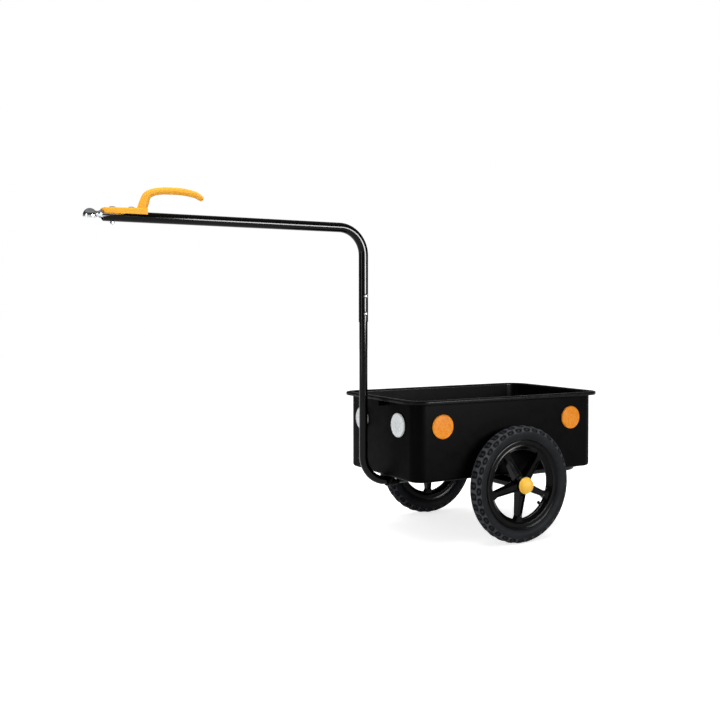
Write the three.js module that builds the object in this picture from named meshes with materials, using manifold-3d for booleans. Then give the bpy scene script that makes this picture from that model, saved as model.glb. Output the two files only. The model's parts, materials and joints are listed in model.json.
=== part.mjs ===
// Cargo bike trailer: a moulded tub on a steel undercarriage, two moulded five-spoke wheels with
// pneumatic tyres, and a bent tubular drawbar that rises in front of the tub and runs forward to
// a ball coupler with a carrying handle.
// Millimetres. +X is forward, +Y is the left side, +Z is up. The wheels stand on z = 0.
// The origin is on the ground, at the middle of the whole trailer's length and width.
import * as THREE from "three";
import { mergeVertices } from "three/addons/utils/BufferGeometryUtils.js";
import Module from "manifold-3d";

// Clearances and tolerances
const seatGap = 0.3;
const cutOverrun = 5;
const weldDistance = 0.001;

// Wheels: a 47-254 tyre on a one-piece moulded wheel
const wheelDiameter = 348;
const tyreToTub = 24;
const tyreCrownHalfWidth = 8;
const tyreShoulderHalfWidth = 18.5;
const tyreShoulderDrop = 7;
const tyreHalfWidth = 23;
const tyreWidestDrop = 22;
const tyreWaistHalfWidth = 17;
const tyreWaistRise = 2.5;
const treadDepth = 3;
const treadThickness = 8;
const sidewallThickness = 5;
const beadWidth = 6;
const beadSeatRadius = 127;
const rimFlangeHeight = 5;
const rimFlangeThickness = 2.8;
const rimFlangeTaper = 1.4;
const rimHalfWidth = 17;
const rimWellHalfWidth = 7;
const rimWellDepth = 8;
const rimStepToWell = 6.5;
const rimStepDepth = 3.5;
const rimBandHalfWidth = 5;
const rimBandChamfer = 2;
const windowOuterRadius = 103;
const spokeCount = 5;
const spokeHubWidth = 24;
const spokeRimWidth = 18;
const spokeFlareWidth = 28;
const spokeFlareLength = 9;
const spokeHubFace = 19;
const spokeRimFace = 10;
const spokeHubBack = 12;
const spokeRimBack = 9;
const spokeLip = 3.6;
const spokeGrooveDepth = 3.6;
const spokeGrooveInset = 7;
const hubInboardReach = 23;
const hubOutboardReach = 26;
const hubInboardRadius = 19;
const hubOutboardRadius = 23;
const hubBoreRadius = 10.3;
const hubPocketRadius = 15.5;
const hubPocketDepth = 12;
const leftWheelSpin = THREE.MathUtils.degToRad(-5);
const rightWheelSpin = 0;

// Inner tube and valve
const innerTubeGap = 0.6;
const innerTubeThickness = 1.6;
const valveRadius = 3;
const valveBoreRadius = 1.2;
const valveReach = 10;
const valveTurnFromSpoke = 54;
const valveCapWall = 1.2;
const valveCapLength = 8;

// Wheel bearings, axle ends and hub caps
const journalRadius = 6;
const bushBarrelLength = 14;
const bushFlangeRadius = 13;
const bushFlangeThickness = 2;
const axleWasherRadius = 11;
const axleWasherThickness = 1.6;
const axleNutRadius = 9.8;
const axleNutHeight = 8;
const axleNutOverhang = 2;
const hubCapRadius = 24.6;
const hubCapEdgeHeight = 4;
const hubCapDomeRadius = 23.4;
const hubCapHeight = 21.7;
const hubCapWall = 2.2;
const hubCapSkirtDepth = 6;

// Undercarriage
const axleBeamRadius = 15;
const axleBeamWall = 2.5;
const axlePlugLength = 40;
const axleCollarThickness = 4;
const loopTubeRadius = 10;
const loopTubeWall = 1.5;
const loopHalfWidth = 145;
const loopRearInset = 8;
const loopBendRadius = 50;
const receiverWall = 2.4;
const receiverLength = 190;
const receiverBoltInset = 45;
const receiverBoltRadius = 4;
const receiverBoltHeadRadius = 7.5;
const receiverBoltHeadHeight = 5.3;
const clampLength = 38;
const clampHalfWidth = 34;
const clampFlangeThickness = 6;
const clampLobeWall = 5;
const clampInset = 20;
const clampBoltHalfSpacing = 25;
const clampRibThickness = 5;

// Tub
const tubLength = 672;
const tubWidth = 404;
const tubHeight = 236;
const tubGroundClearance = 196;
const tubRearShift = 2;
const tubCornerRadius = 42;
const tubWall = 4;
const tubDraft = 1.2;
const tubFootRadius = 8;
const tubInnerFootRadius = 10;
const rimOverhang = 22;
const rimFlange = 4;
const rimLipHeight = 10;
const rimLipThickness = 3;
const rimEdgeRadius = 3.6;
const rimInnerEdgeRadius = 3;
const padHalfWidth = 26;
const padHeight = 27;
const tubBoltRearInset = 98;

// Reflectors
const reflectorRadius = 35;
const reflectorEdgeHeight = 5;
const reflectorRingHeight = 6.6;
const reflectorRingWidth = 3;
const reflectorLensDrop = 1;
const reflectorHeight = 355;
const frontReflectorHalfSpacing = 107;
const sideReflectorFrontInset = 89;
const sideReflectorRearInset = 102;

// Drawbar
const legRise = 2;
const lowerTubeRadius = 12.5;
const lowerTubeWall = 1.5;
const upperTubeRadius = 14;
const upperTubeWall = 1.2;
const drawbarBendRadius = 80;
const postToTub = 58;
const boomHeight = 932;
const sleeveHeight = 655;
const sleeveOverlap = 92;
const sleeveBoltInset = 25;
const sleeveBoltSpacing = 52;
const boomReach = 768;
const boomEndSlant = 6;
const notchLength = 59;
const notchRearRise = 5.3;
const notchFrontDrop = 3.9;

// Ball coupler
const couplerReach = 28;
const cupRadius = 17.6;
const cupMouthDrop = 5;
const cupSkirtHeight = 4;
const cupHeight = 22.6;
const socketRadius = 11.4;
const socketRise = 8.5;
const socketMouthFlare = 1.6;
const collarLength = 9;
const collarHalfWidth = 11.5;
const collarRise = 15;
const neckHalfWidth = 7.4;
const neckLength = 14;
const neckTopRise = 11.6;
const neckBottomDrop = 2.8;

// Latch in the coupler's neck
const slotHalfWidth = 3.4;
const slotCeilingRise = 8;
const slotRearInset = 4;
const latchHalfThickness = 3;
const latchPivotBack = 17.5;
const latchPivotRise = 4.5;
const latchHubRadius = 2.8;
const latchPinRadius = 1.25;
const latchClawReach = 7.4;
const latchClawDrop = 6;
const latchClawThickness = 3;
const latchSeatDrop = 3.4;
const latchArmThickness = 2.6;
const latchTriggerReach = 8.5;
const latchTriggerDrop = 10.5;
const latchTriggerThickness = 2.8;
const springRadius = 1.6;
const springWireRadius = 0.35;
const springCurls = 4;
const springInset = 2.4;

// Handle
const saddleHalfWidth = 17;
const saddleSkirtRise = 7;
const saddleFrontTopRise = 20.6;
const saddleRearTopRise = 24.4;
const saddleLength = 116;
const saddleNoseSlant = 7;
const saddleEdgeRadius = 5;
const bossRadius = 9.5;
const bossHeight = 0.8;
const frontBoltInset = 28;
const rearScrewInset = 78;
const gripFootInset = 106.5;
const gripRise = 73.5;
const gripReach = 164;
const gripThickness = 26;
const gripWidth = 24;

// Screws, bolts and nuts
const smallBoltRadius = 3;
const smallBoltHeadRadius = 6.4;
const smallBoltHeadHeight = 4;
const smallNutRadius = 5.8;
const smallNutHeight = 5;
const largeNutRadius = 7.5;
const largeNutHeight = 6.5;
const handleBoltHeadRadius = 8;
const handleBoltHeadHeight = 2.2;
const tubBoltHeadRadius = 8;
const tubBoltHeadHeight = 3.2;
const boltTail = 2.5;
const screwDepth = 9;

// Shares of the head that shape a domed bolt's crown
const headEdgeShare = 0.35;
const headShoulderShare = 0.72;
const headShoulderHeightShare = 0.85;

// Grip from its foot on the saddle to its tip, as shares of its reach, rise, thickness and width
const gripShares = [
  [-0.01, 0.2, 1, 1],
  [0, 0.34, 1, 1],
  [0.03, 0.55, 0.95, 1],
  [0.075, 0.79, 0.83, 0.98],
  [0.175, 0.92, 0.75, 0.96],
  [0.29, 0.975, 0.73, 0.94],
  [0.415, 1, 0.74, 0.93],
  [0.652, 1, 0.73, 0.92],
  [0.86, 0.93, 0.67, 0.9],
  [0.955, 0.825, 0.59, 0.84],
  [1, 0.745, 0.33, 0.5],
];

// Facet counts
const cornerSteps = 5;
const footSteps = 3;
const tubeSides = 16;
const loopSides = 12;
const bendSteps = 6;
const treadSegments = 84;
const cavitySegments = 18;
const rimSegments = 24;
const hubSegments = 16;
const boltSegments = 8;
const reflectorSegments = 16;
const domeSteps = 4;
const gripSides = 12;
const springStepsPerCurl = 8;
const springSides = 5;

// Places that follow from the sizes
const axleHeight = wheelDiameter / 2;
const tubFront = tubLength / 2 - tubRearShift;
const tubRear = -tubLength / 2 - tubRearShift;
const tubSide = tubWidth / 2;
const wheelPlane = tubSide + tyreToTub + tyreHalfWidth;
const rimStepRadius = beadSeatRadius - rimWellDepth - rimStepToWell;
const floorTop = tubGroundClearance + tubWall;
const underTub = tubGroundClearance - seatGap;
const loopHeight = underTub - loopTubeRadius;
const loopRear = tubRear + loopRearInset;
const postX = tubFront + postToTub;
const legHeight = axleHeight + legRise;
const boomEnd = postX + boomReach;
const boomTop = boomHeight + upperTubeRadius;
const boomBottom = boomHeight - upperTubeRadius;
const legBore = lowerTubeRadius + seatGap;
const receiverRadius = legBore + receiverWall;
const receiverBoltX = receiverLength - receiverBoltInset;
const clampX = tubFront - clampInset - clampLength / 2;
const tubBoltRearX = tubRear + tubBoltRearInset;
const boltHoleRadius = smallBoltRadius + seatGap;
const frontBoltX = boomEnd - frontBoltInset;
const rearScrewX = boomEnd - rearScrewInset;
const cupX = boomEnd + couplerReach;
const cupMouth = boomHeight - cupMouthDrop;
const pivotX = cupX - latchPivotBack;
const pivotHeight = boomHeight + latchPivotRise;
const slotCeiling = boomHeight + slotCeilingRise;
const springFoot = pivotHeight - latchSeatDrop + seatGap;
const springHeight = slotCeiling - seatGap - springFoot;
const springX = pivotX - latchTriggerReach + springInset;
const partFront = cupX + cupRadius;
const partRear = tubRear - rimOverhang;

// Heights in a wheel's own frame, whose mid-plane is at 0 and whose outer side is up
const pocketFloor = hubOutboardReach - hubPocketDepth;
const outerBushBase = pocketFloor + seatGap;
const axleWasherBase = outerBushBase + bushFlangeThickness + seatGap;
const axleNutBase = axleWasherBase + axleWasherThickness + seatGap;
const axleTip = axleNutBase + axleNutHeight + axleNutOverhang;
const hubCapBase = hubOutboardReach + seatGap;
const innerBushBase = hubInboardReach + seatGap;
const axleCollarFace = -innerBushBase - bushFlangeThickness - seatGap;
const axleCollarBack = axleCollarFace - axleCollarThickness;
const axleBeamEnd = wheelPlane + axleCollarBack - seatGap;

// Radii and widths that the rim, the tyre and the inner tube share
const rimFlangeTop = beadSeatRadius + rimFlangeHeight;
const rimWellRadius = beadSeatRadius - rimWellDepth;
const rimSeatHalfWidth = rimHalfWidth - rimFlangeThickness - rimFlangeTaper;
const beadFace = rimSeatHalfWidth - seatGap;
const beadToe = beadFace - beadWidth;
const valveEnd = windowOuterRadius - valveReach;
const spokeAngles = Array.from({ length: spokeCount }, (_, i) => (360 * i) / spokeCount - 90);
const valveAngle = spokeAngles[0] - valveTurnFromSpoke;

const wasm = await Module();
wasm.setup();

// Turns a closed geometry into a solid that can be joined and cut.
function solid(geometry) {
  const loose = geometry.index ? geometry.toNonIndexed() : geometry;
  const bare = new THREE.BufferGeometry();
  bare.setAttribute("position", loose.getAttribute("position"));
  const welded = mergeVertices(bare, weldDistance);
  const corners = welded.index.array;
  const kept = [];
  for (let i = 0; i < corners.length; i += 3) {
    const [a, b, c] = corners.slice(i, i + 3);
    if (a !== b && b !== c && c !== a) {
      kept.push(a, b, c);
    }
  }
  const vertProperties = welded.getAttribute("position").array;
  return new wasm.Manifold(new wasm.Mesh({ numProp: 3, vertProperties, triVerts: new Uint32Array(kept) }));
}

// Turns a solid back into a geometry for a mesh.
function geometryOf(body) {
  const { numProp, numVert, vertProperties, triVerts } = body.getMesh();
  const positions = new Float32Array(3 * numVert);
  for (let i = 0; i < numVert; i += 1) {
    positions.set(vertProperties.subarray(numProp * i, numProp * i + 3), 3 * i);
  }
  const geometry = new THREE.BufferGeometry();
  geometry.setAttribute("position", new THREE.BufferAttribute(positions, 3));
  geometry.setIndex(new THREE.BufferAttribute(triVerts, 1));
  geometry.computeVertexNormals();
  return geometry;
}

function joined(...geometries) {
  return geometries.map(solid).reduce((whole, next) => whole.add(next));
}

function cutBy(body, ...geometries) {
  return geometries.map(solid).reduce((rest, tool) => rest.subtract(tool), body);
}

// A surface of revolution about Y from [radius, height] pairs that run anticlockwise, either from
// the axis back to the axis or round a closed loop that stays off it.
function turned(profile, segments) {
  const first = profile[0];
  const last = profile[profile.length - 1];
  const outline = first[0] === 0 && last[0] === 0 ? profile : [...profile, first];
  return new THREE.LatheGeometry(
    outline.map(([r, h]) => new THREE.Vector2(r, h)),
    segments,
  );
}

// The closed profile whose half above height 0 is given, from its outer side inwards.
function mirrored(upperHalf) {
  const lowerHalf = upperHalf.filter(([, h]) => h !== 0).map(([r, h]) => [r, -h]);
  return [...lowerHalf.reverse(), ...upperHalf];
}

function alongX(geometry) {
  return geometry.rotateZ(-Math.PI / 2);
}

function alongZ(geometry) {
  return geometry.rotateX(Math.PI / 2);
}

// A round bar about the Y axis between two heights on it.
function barY(radius, from, to, segments) {
  return new THREE.CylinderGeometry(radius, radius, to - from, segments).translate(0, (from + to) / 2, 0);
}

// Extrudes a side view, given as [x, z] pairs, to both sides of the centreline.
function acrossY(points, halfWidth) {
  const shape = new THREE.Shape(points.map(([x, z]) => new THREE.Vector2(x, z)));
  const slab = new THREE.ExtrudeGeometry(shape, { depth: 2 * halfWidth, bevelEnabled: false });
  return slab.translate(0, 0, -halfWidth).rotateX(Math.PI / 2);
}

// Extrudes a front view, given as [y, z] pairs, forward from x = 0.
function forwardX(points, length) {
  const shape = new THREE.Shape(points.map(([y, z]) => new THREE.Vector2(y, z)));
  const turn = new THREE.Matrix4().makeBasis(
    new THREE.Vector3(0, 1, 0),
    new THREE.Vector3(0, 0, 1),
    new THREE.Vector3(1, 0, 0),
  );
  return new THREE.ExtrudeGeometry(shape, { depth: length, bevelEnabled: false }).applyMatrix4(turn);
}

// Skins a row of rings that have equally many points, each anticlockwise as seen from ahead, and
// closes both ends.
function loft(rings) {
  const count = rings[0].length;
  const faces = [];
  for (let i = 0; i + 1 < rings.length; i += 1) {
    for (let j = 0; j < count; j += 1) {
      const a = i * count + j;
      const b = i * count + ((j + 1) % count);
      faces.push(a, b, b + count, a, b + count, a + count);
    }
  }
  const end = (rings.length - 1) * count;
  for (let j = 1; j + 1 < count; j += 1) {
    faces.push(0, j + 1, j, end, end + j, end + j + 1);
  }
  const geometry = new THREE.BufferGeometry();
  geometry.setAttribute("position", new THREE.BufferAttribute(new Float32Array(rings.flat().flat()), 3));
  geometry.setIndex(faces);
  return geometry;
}

// The points of an arc of a circle or an oval as [x, y] pairs, both ends included.
function arc(x, y, radius, fromDegrees, toDegrees, steps, radiusY = radius) {
  return Array.from({ length: steps + 1 }, (_, i) => {
    const angle = THREE.MathUtils.degToRad(fromDegrees + ((toDegrees - fromDegrees) * i) / steps);
    return [x + radius * Math.cos(angle), y + radiusY * Math.sin(angle)];
  });
}

// The points of a whole circle or oval, each once.
function ring(x, y, radius, sides, radiusY = radius) {
  return arc(x, y, radius, 0, 360, sides, radiusY).slice(0, sides);
}

// Half the section of a dome over the axis, from its edge at a height up to its tip.
function domeSection(height, radius, rise, steps = domeSteps) {
  const points = arc(0, height, radius, 0, 90, steps, rise).slice(0, steps);
  return [...points, [0, height + rise]];
}

// A rounded rectangle at one height, anticlockwise from above.
function roundedRectangle(halfX, halfY, radius, z) {
  const x = halfX - radius;
  const y = halfY - radius;
  return [
    ...arc(x, y, radius, 0, 90, cornerSteps),
    ...arc(-x, y, radius, 90, 180, cornerSteps),
    ...arc(-x, -y, radius, 180, 270, cornerSteps),
    ...arc(x, -y, radius, 270, 360, cornerSteps),
  ].map(([px, py]) => [px, py, z]);
}

// A centreline through straight legs and square bends, with a station at each end of a leg and at
// each step of a bend.
class BentLine extends THREE.Curve {
  constructor(corners, bendRadius) {
    super();
    this.stations = [corners[0]];
    for (let i = 1; i + 1 < corners.length; i += 1) {
      const back = corners[i - 1].clone().sub(corners[i]).normalize();
      const ahead = corners[i + 1].clone().sub(corners[i]).normalize();
      const centre = corners[i].clone().addScaledVector(back, bendRadius).addScaledVector(ahead, bendRadius);
      for (let step = 0; step <= bendSteps; step += 1) {
        const angle = (step / bendSteps) * (Math.PI / 2);
        const station = centre.clone().addScaledVector(ahead, -bendRadius * Math.cos(angle));
        this.stations.push(station.addScaledVector(back, -bendRadius * Math.sin(angle)));
      }
    }
    this.stations.push(corners[corners.length - 1]);
  }

  getPoint(t, target = new THREE.Vector3()) {
    const spans = this.stations.length - 1;
    const span = Math.min(Math.floor(t * spans), spans - 1);
    return target.lerpVectors(this.stations[span], this.stations[span + 1], t * spans - span);
  }

  getUtoTmapping(u) {
    return u;
  }
}

function circleShape(radius, sides) {
  return new THREE.Shape(ring(0, 0, radius, sides).map(([x, y]) => new THREE.Vector2(x, y)));
}

// A round tube along a bent line.
function bentTube(corners, bendRadius, radius, wall, sides) {
  const path = new BentLine(corners, bendRadius);
  const section = circleShape(radius, sides);
  section.holes.push(circleShape(radius - wall, sides));
  return new THREE.ExtrudeGeometry(section, { steps: path.stations.length - 1, extrudePath: path });
}

// An upright cutter for a bolt hole.
function uprightHole(x, y, radius, from, to) {
  return alongZ(barY(radius, from, to, boltSegments)).translate(x, y, 0);
}

// A cutter across the centreline for a bolt or pin hole.
function crossHole(x, z, radius) {
  const half = 2 * upperTubeRadius;
  return barY(radius, -half, half, boltSegments).translate(x, 0, z);
}

// A bolt along Y whose domed head rises from height 0 and whose shank runs down from it.
function domedBolt(headRadius, headHeight, length) {
  return turned(
    [
      [0, -length],
      [smallBoltRadius, -length],
      [smallBoltRadius, 0],
      [headRadius, 0],
      [headRadius, headHeight * headEdgeShare],
      [headRadius * headShoulderShare, headHeight * headShoulderHeightShare],
      [0, headHeight],
    ],
    boltSegments,
  );
}

// A hexagon nut along Y that stands on height 0.
function hexNut(radius, height, boltRadius, segments = boltSegments) {
  const bore = barY(boltRadius + seatGap, -cutOverrun, height + cutOverrun, segments);
  return geometryOf(cutBy(joined(barY(radius, 0, height, 6)), bore));
}

function smallNut() {
  return hexNut(smallNutRadius, smallNutHeight, smallBoltRadius);
}

// Tub: one moulded shell, from the foot up the outside, over the rim and down the inside.
function tubShell() {
  const flangeUnder = tubHeight - rimFlange;
  const lipInner = rimOverhang - rimLipThickness;
  const lipBottom = tubHeight - rimLipHeight;
  const footInside = -tubWall - tubDraft - tubInnerFootRadius;
  const profile = [
    ...arc(-tubFootRadius, tubFootRadius, tubFootRadius, -90, 0, footSteps),
    [0, flangeUnder - rimInnerEdgeRadius],
    [rimInnerEdgeRadius, flangeUnder],
    [lipInner, flangeUnder],
    [lipInner, lipBottom],
    [rimOverhang, lipBottom],
    ...arc(rimOverhang - rimEdgeRadius, tubHeight - rimEdgeRadius, rimEdgeRadius, 0, 90, 2),
    ...arc(rimInnerEdgeRadius - tubWall, tubHeight - rimInnerEdgeRadius, rimInnerEdgeRadius, 90, 180, 2),
    ...arc(footInside, tubWall + tubInnerFootRadius, tubInnerFootRadius, 0, -90, footSteps),
  ];
  const rings = profile.map(([out, z]) =>
    roundedRectangle(tubLength / 2 + out, tubSide + out, tubCornerRadius + out, z),
  );
  return loft(rings).translate(-tubRearShift, 0, tubGroundClearance);
}

// Moulded pad under the middle of the front rim, flush with its lip.
function rimPad() {
  const depth = rimOverhang + tubWall / 2;
  const top = tubHeight - rimEdgeRadius;
  const bottom = tubHeight - padHeight;
  const pad = new THREE.BoxGeometry(depth, 2 * padHalfWidth, top - bottom);
  return pad.translate(tubFront + rimOverhang - depth / 2, 0, tubGroundClearance + (top + bottom) / 2);
}

const tubBolts = [
  { end: "front_left", x: clampX, y: clampBoltHalfSpacing, grip: clampFlangeThickness },
  { end: "front_right", x: clampX, y: -clampBoltHalfSpacing, grip: clampFlangeThickness },
  { end: "rear_left", x: tubBoltRearX, y: loopHalfWidth, grip: 2 * loopTubeRadius },
  { end: "rear_right", x: tubBoltRearX, y: -loopHalfWidth, grip: 2 * loopTubeRadius },
];

function tub() {
  const holes = tubBolts.map(({ x, y }) =>
    uprightHole(x, y, boltHoleRadius, tubGroundClearance - cutOverrun, floorTop + cutOverrun),
  );
  return geometryOf(cutBy(joined(tubShell(), rimPad()), ...holes));
}

// Reflector along Y: a disc with a raised ring round its lens.
function reflector() {
  const ringInner = reflectorRadius - reflectorRingWidth;
  const lens = reflectorRingHeight - reflectorLensDrop;
  return turned(
    [
      [0, 0],
      [reflectorRadius, 0],
      [reflectorRadius, reflectorEdgeHeight],
      [ringInner, reflectorRingHeight],
      [ringInner, lens],
      [0, lens],
    ],
    reflectorSegments,
  );
}

// Cross tube that carries both axle ends.
function axleBeam() {
  const bore = axleBeamRadius - axleBeamWall;
  return turned(
    [
      [bore, -axleBeamEnd],
      [axleBeamRadius, -axleBeamEnd],
      [axleBeamRadius, axleBeamEnd],
      [bore, axleBeamEnd],
    ],
    hubSegments,
  );
}

// Axle end in its wheel's frame: a plug in the beam, a collar against the beam's end, and a
// journal that runs through the wheel.
function axleStub() {
  const plug = axleBeamRadius - axleBeamWall - seatGap;
  return turned(
    [
      [0, axleCollarBack - axlePlugLength],
      [plug, axleCollarBack - axlePlugLength],
      [plug, axleCollarBack],
      [axleBeamRadius, axleCollarBack],
      [axleBeamRadius, axleCollarFace],
      [journalRadius, axleCollarFace],
      [journalRadius, axleTip],
      [0, axleTip],
    ],
    hubSegments,
  );
}

// Cutter that copes a tube's end to the axle beam.
function beamCope() {
  const cope = barY(axleBeamRadius + seatGap, -wheelPlane, wheelPlane, hubSegments);
  return cope.translate(0, 0, axleHeight);
}

// U-shaped tube behind the axle beam, under the tub's rear half.
function rearLoop() {
  const weldEnd = -axleBeamRadius / 3;
  const crossX = loopRear + loopTubeRadius;
  const corners = [
    [weldEnd, loopHalfWidth],
    [crossX, loopHalfWidth],
    [crossX, -loopHalfWidth],
    [weldEnd, -loopHalfWidth],
  ].map(([x, y]) => new THREE.Vector3(x, y, loopHeight));
  const tube = joined(bentTube(corners, loopBendRadius, loopTubeRadius, loopTubeWall, loopSides));
  const holes = [loopHalfWidth, -loopHalfWidth].map((y) =>
    uprightHole(tubBoltRearX, y, boltHoleRadius, loopHeight - 2 * loopTubeRadius, floorTop),
  );
  return geometryOf(cutBy(tube, beamCope(), ...holes));
}

// Socket tube in front of the axle beam that holds the drawbar's leg.
function drawbarReceiver() {
  const weldEnd = axleBeamRadius / 3;
  const tube = turned(
    [
      [legBore, weldEnd],
      [receiverRadius, weldEnd],
      [receiverRadius, receiverLength],
      [legBore, receiverLength],
    ],
    tubeSides,
  );
  const placed = joined(alongX(tube).translate(0, 0, legHeight));
  const hole = crossHole(receiverBoltX, legHeight, receiverBoltRadius + seatGap);
  return geometryOf(cutBy(placed, beamCope(), hole));
}

// The receiver's cross bolt along Y: a hexagon head on height 0 and a shank down from it.
function receiverBolt() {
  const length = 2 * (receiverRadius + seatGap) + largeNutHeight + boltTail;
  const head = barY(receiverBoltHeadRadius, 0, receiverBoltHeadHeight, 6);
  const shank = barY(receiverBoltRadius, -length, receiverBoltHeadHeight / 2, boltSegments);
  return geometryOf(joined(head, shank));
}

// Moulded clamp round the drawbar's leg under the tub's front: a lobe, a flange for two bolts and
// a web at each end.
function frontClamp() {
  const top = underTub - legHeight;
  const under = top - clampFlangeThickness;
  const lobe = lowerTubeRadius + clampLobeWall;
  const lobeMeets = THREE.MathUtils.radToDeg(Math.asin(under / lobe));
  const body = [
    [clampHalfWidth, top],
    [-clampHalfWidth, top],
    [-clampHalfWidth, under],
    ...arc(0, 0, lobe, 180 - lobeMeets, 360 + lobeMeets, tubeSides / 2 + 2),
    [clampHalfWidth, under],
  ];
  const web = [
    [clampHalfWidth, under + clampFlangeThickness / 2],
    [-clampHalfWidth, under + clampFlangeThickness / 2],
    [-clampHalfWidth, under - clampFlangeThickness / 2],
    [-lobe, -lobe / 2],
    [lobe, -lobe / 2],
    [clampHalfWidth, under - clampFlangeThickness / 2],
  ];
  const webs = [0, clampLength - clampRibThickness].map((x) =>
    forwardX(web, clampRibThickness).translate(x, 0, 0),
  );
  const holes = [clampBoltHalfSpacing, -clampBoltHalfSpacing].map((y) =>
    uprightHole(clampLength / 2, y, boltHoleRadius, under - cutOverrun, top + cutOverrun),
  );
  const bore = alongX(barY(legBore, -cutOverrun, clampLength + cutOverrun, tubeSides));
  return geometryOf(cutBy(joined(forwardX(body, clampLength), ...webs), bore, ...holes));
}

const sleeveBoltHeights = [0, 1].map((i) => sleeveHeight + sleeveBoltInset + sleeveBoltSpacing * i);

function sleeveHoles() {
  return sleeveBoltHeights.map((z) => crossHole(postX, z, boltHoleRadius));
}

// Lower drawbar: from the receiver forward under the tub, then up in front of it.
function lowerDrawbar() {
  const corners = [
    new THREE.Vector3(axleBeamRadius + cutOverrun, 0, legHeight),
    new THREE.Vector3(postX, 0, legHeight),
    new THREE.Vector3(postX, 0, sleeveHeight + sleeveOverlap),
  ];
  const tube = joined(bentTube(corners, drawbarBendRadius, lowerTubeRadius, lowerTubeWall, tubeSides));
  const receiverHole = crossHole(receiverBoltX, legHeight, receiverBoltRadius + seatGap);
  return geometryOf(cutBy(tube, receiverHole, ...sleeveHoles()));
}

// Side view of the slanted notch in the boom's end, drawn in by a gap for what lies in it.
function notchOutline(gap) {
  const rear = boomEnd - notchLength;
  const front = boomEnd + cutOverrun;
  const slope = (notchFrontDrop + notchRearRise) / notchLength;
  const rearSeat = boomHeight + notchRearRise + gap;
  return [
    [rear + gap, rearSeat],
    [front, rearSeat - slope * (front - rear)],
    [front, boomTop + cutOverrun],
    [rear + gap, boomTop + cutOverrun],
  ];
}

// Upper drawbar: a sleeve over the lower one, a bend, and the boom with its notched, slanted end.
function upperDrawbar() {
  const corners = [
    new THREE.Vector3(postX, 0, sleeveHeight),
    new THREE.Vector3(postX, 0, boomHeight),
    new THREE.Vector3(boomEnd, 0, boomHeight),
  ];
  const tube = joined(bentTube(corners, drawbarBendRadius, upperTubeRadius, upperTubeWall, tubeSides));
  const slant = [
    [boomEnd - boomEndSlant, boomBottom],
    [boomEnd - boomEndSlant, boomBottom - cutOverrun],
    [boomEnd + cutOverrun, boomBottom - cutOverrun],
    [boomEnd + cutOverrun, boomHeight],
    [boomEnd, boomHeight],
  ];
  const cutters = [
    acrossY(notchOutline(0), 2 * upperTubeRadius),
    acrossY(slant, 2 * upperTubeRadius),
    uprightHole(frontBoltX, 0, boltHoleRadius, boomBottom - cutOverrun, boomHeight),
    uprightHole(rearScrewX, 0, boltHoleRadius, boomHeight, boomTop + cutOverrun),
    ...sleeveHoles(),
  ];
  return geometryOf(cutBy(tube, ...cutters));
}

// The coupler's cup, which sits over the towing ball.
function couplerCup() {
  const cup = [
    [0, cupMouth],
    [cupRadius, cupMouth],
    ...domeSection(cupMouth + cupSkirtHeight, cupRadius, cupHeight - cupSkirtHeight),
  ];
  return alongZ(turned(cup, hubSegments)).translate(cupX, 0, 0);
}

// The ball's room in the cup, flared at its mouth.
function couplerSocket() {
  const pocket = [
    [0, cupMouth - cutOverrun],
    [socketRadius + socketMouthFlare + cutOverrun, cupMouth - cutOverrun],
    [socketRadius, cupMouth + socketMouthFlare],
    ...domeSection(cupMouth + socketRise, socketRadius, socketRadius),
  ];
  return alongZ(turned(pocket, hubSegments)).translate(cupX, 0, 0);
}

// An oval across the neck at x, between two heights.
function neckOval(x, halfWidth, low, high) {
  const points = ring(0, (low + high) / 2, halfWidth, tubeSides, (high - low) / 2);
  return points.map(([y, z]) => [x, y, z]);
}

// The neck, from a collar in the boom's end to the cup.
function couplerNeck() {
  const collarLow = cupMouth + 2 * seatGap;
  const neckLow = boomHeight - neckBottomDrop;
  const neckHigh = boomHeight + neckTopRise;
  const neckX = boomEnd + collarLength;
  return loft([
    neckOval(boomEnd - collarLength / 3, upperTubeRadius - seatGap, collarLow, boomTop - seatGap),
    neckOval(boomEnd + seatGap, collarHalfWidth, collarLow, boomHeight + collarRise),
    neckOval(neckX, neckHalfWidth, neckLow, neckHigh),
    neckOval(neckX + neckLength, neckHalfWidth, neckLow, neckHigh),
  ]);
}

// The half-round shank that fills the boom's notch.
function couplerShank() {
  const bar = alongX(barY(upperTubeRadius, boomEnd - notchLength, boomEnd, tubeSides));
  const room = solid(acrossY(notchOutline(seatGap), 2 * upperTubeRadius));
  return solid(bar.translate(0, 0, boomHeight)).intersect(room);
}

// The latch's slot, open downwards and forwards into the socket.
function latchSlot() {
  const rear = boomEnd - slotRearInset;
  const front = cupX - socketRadius + slotHalfWidth / 2;
  const low = cupMouth - cutOverrun;
  const slot = new THREE.BoxGeometry(front - rear, 2 * slotHalfWidth, slotCeiling - low);
  return slot.translate((front + rear) / 2, 0, (low + slotCeiling) / 2);
}

function coupler() {
  const whole = joined(couplerCup(), couplerNeck()).add(couplerShank());
  const boltHole = uprightHole(frontBoltX, 0, boltHoleRadius, boomBottom, boomTop + cutOverrun);
  const pinHole = crossHole(pivotX, pivotHeight, latchPinRadius + seatGap);
  return geometryOf(cutBy(whole, couplerSocket(), latchSlot(), boltHole, pinHole));
}

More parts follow.
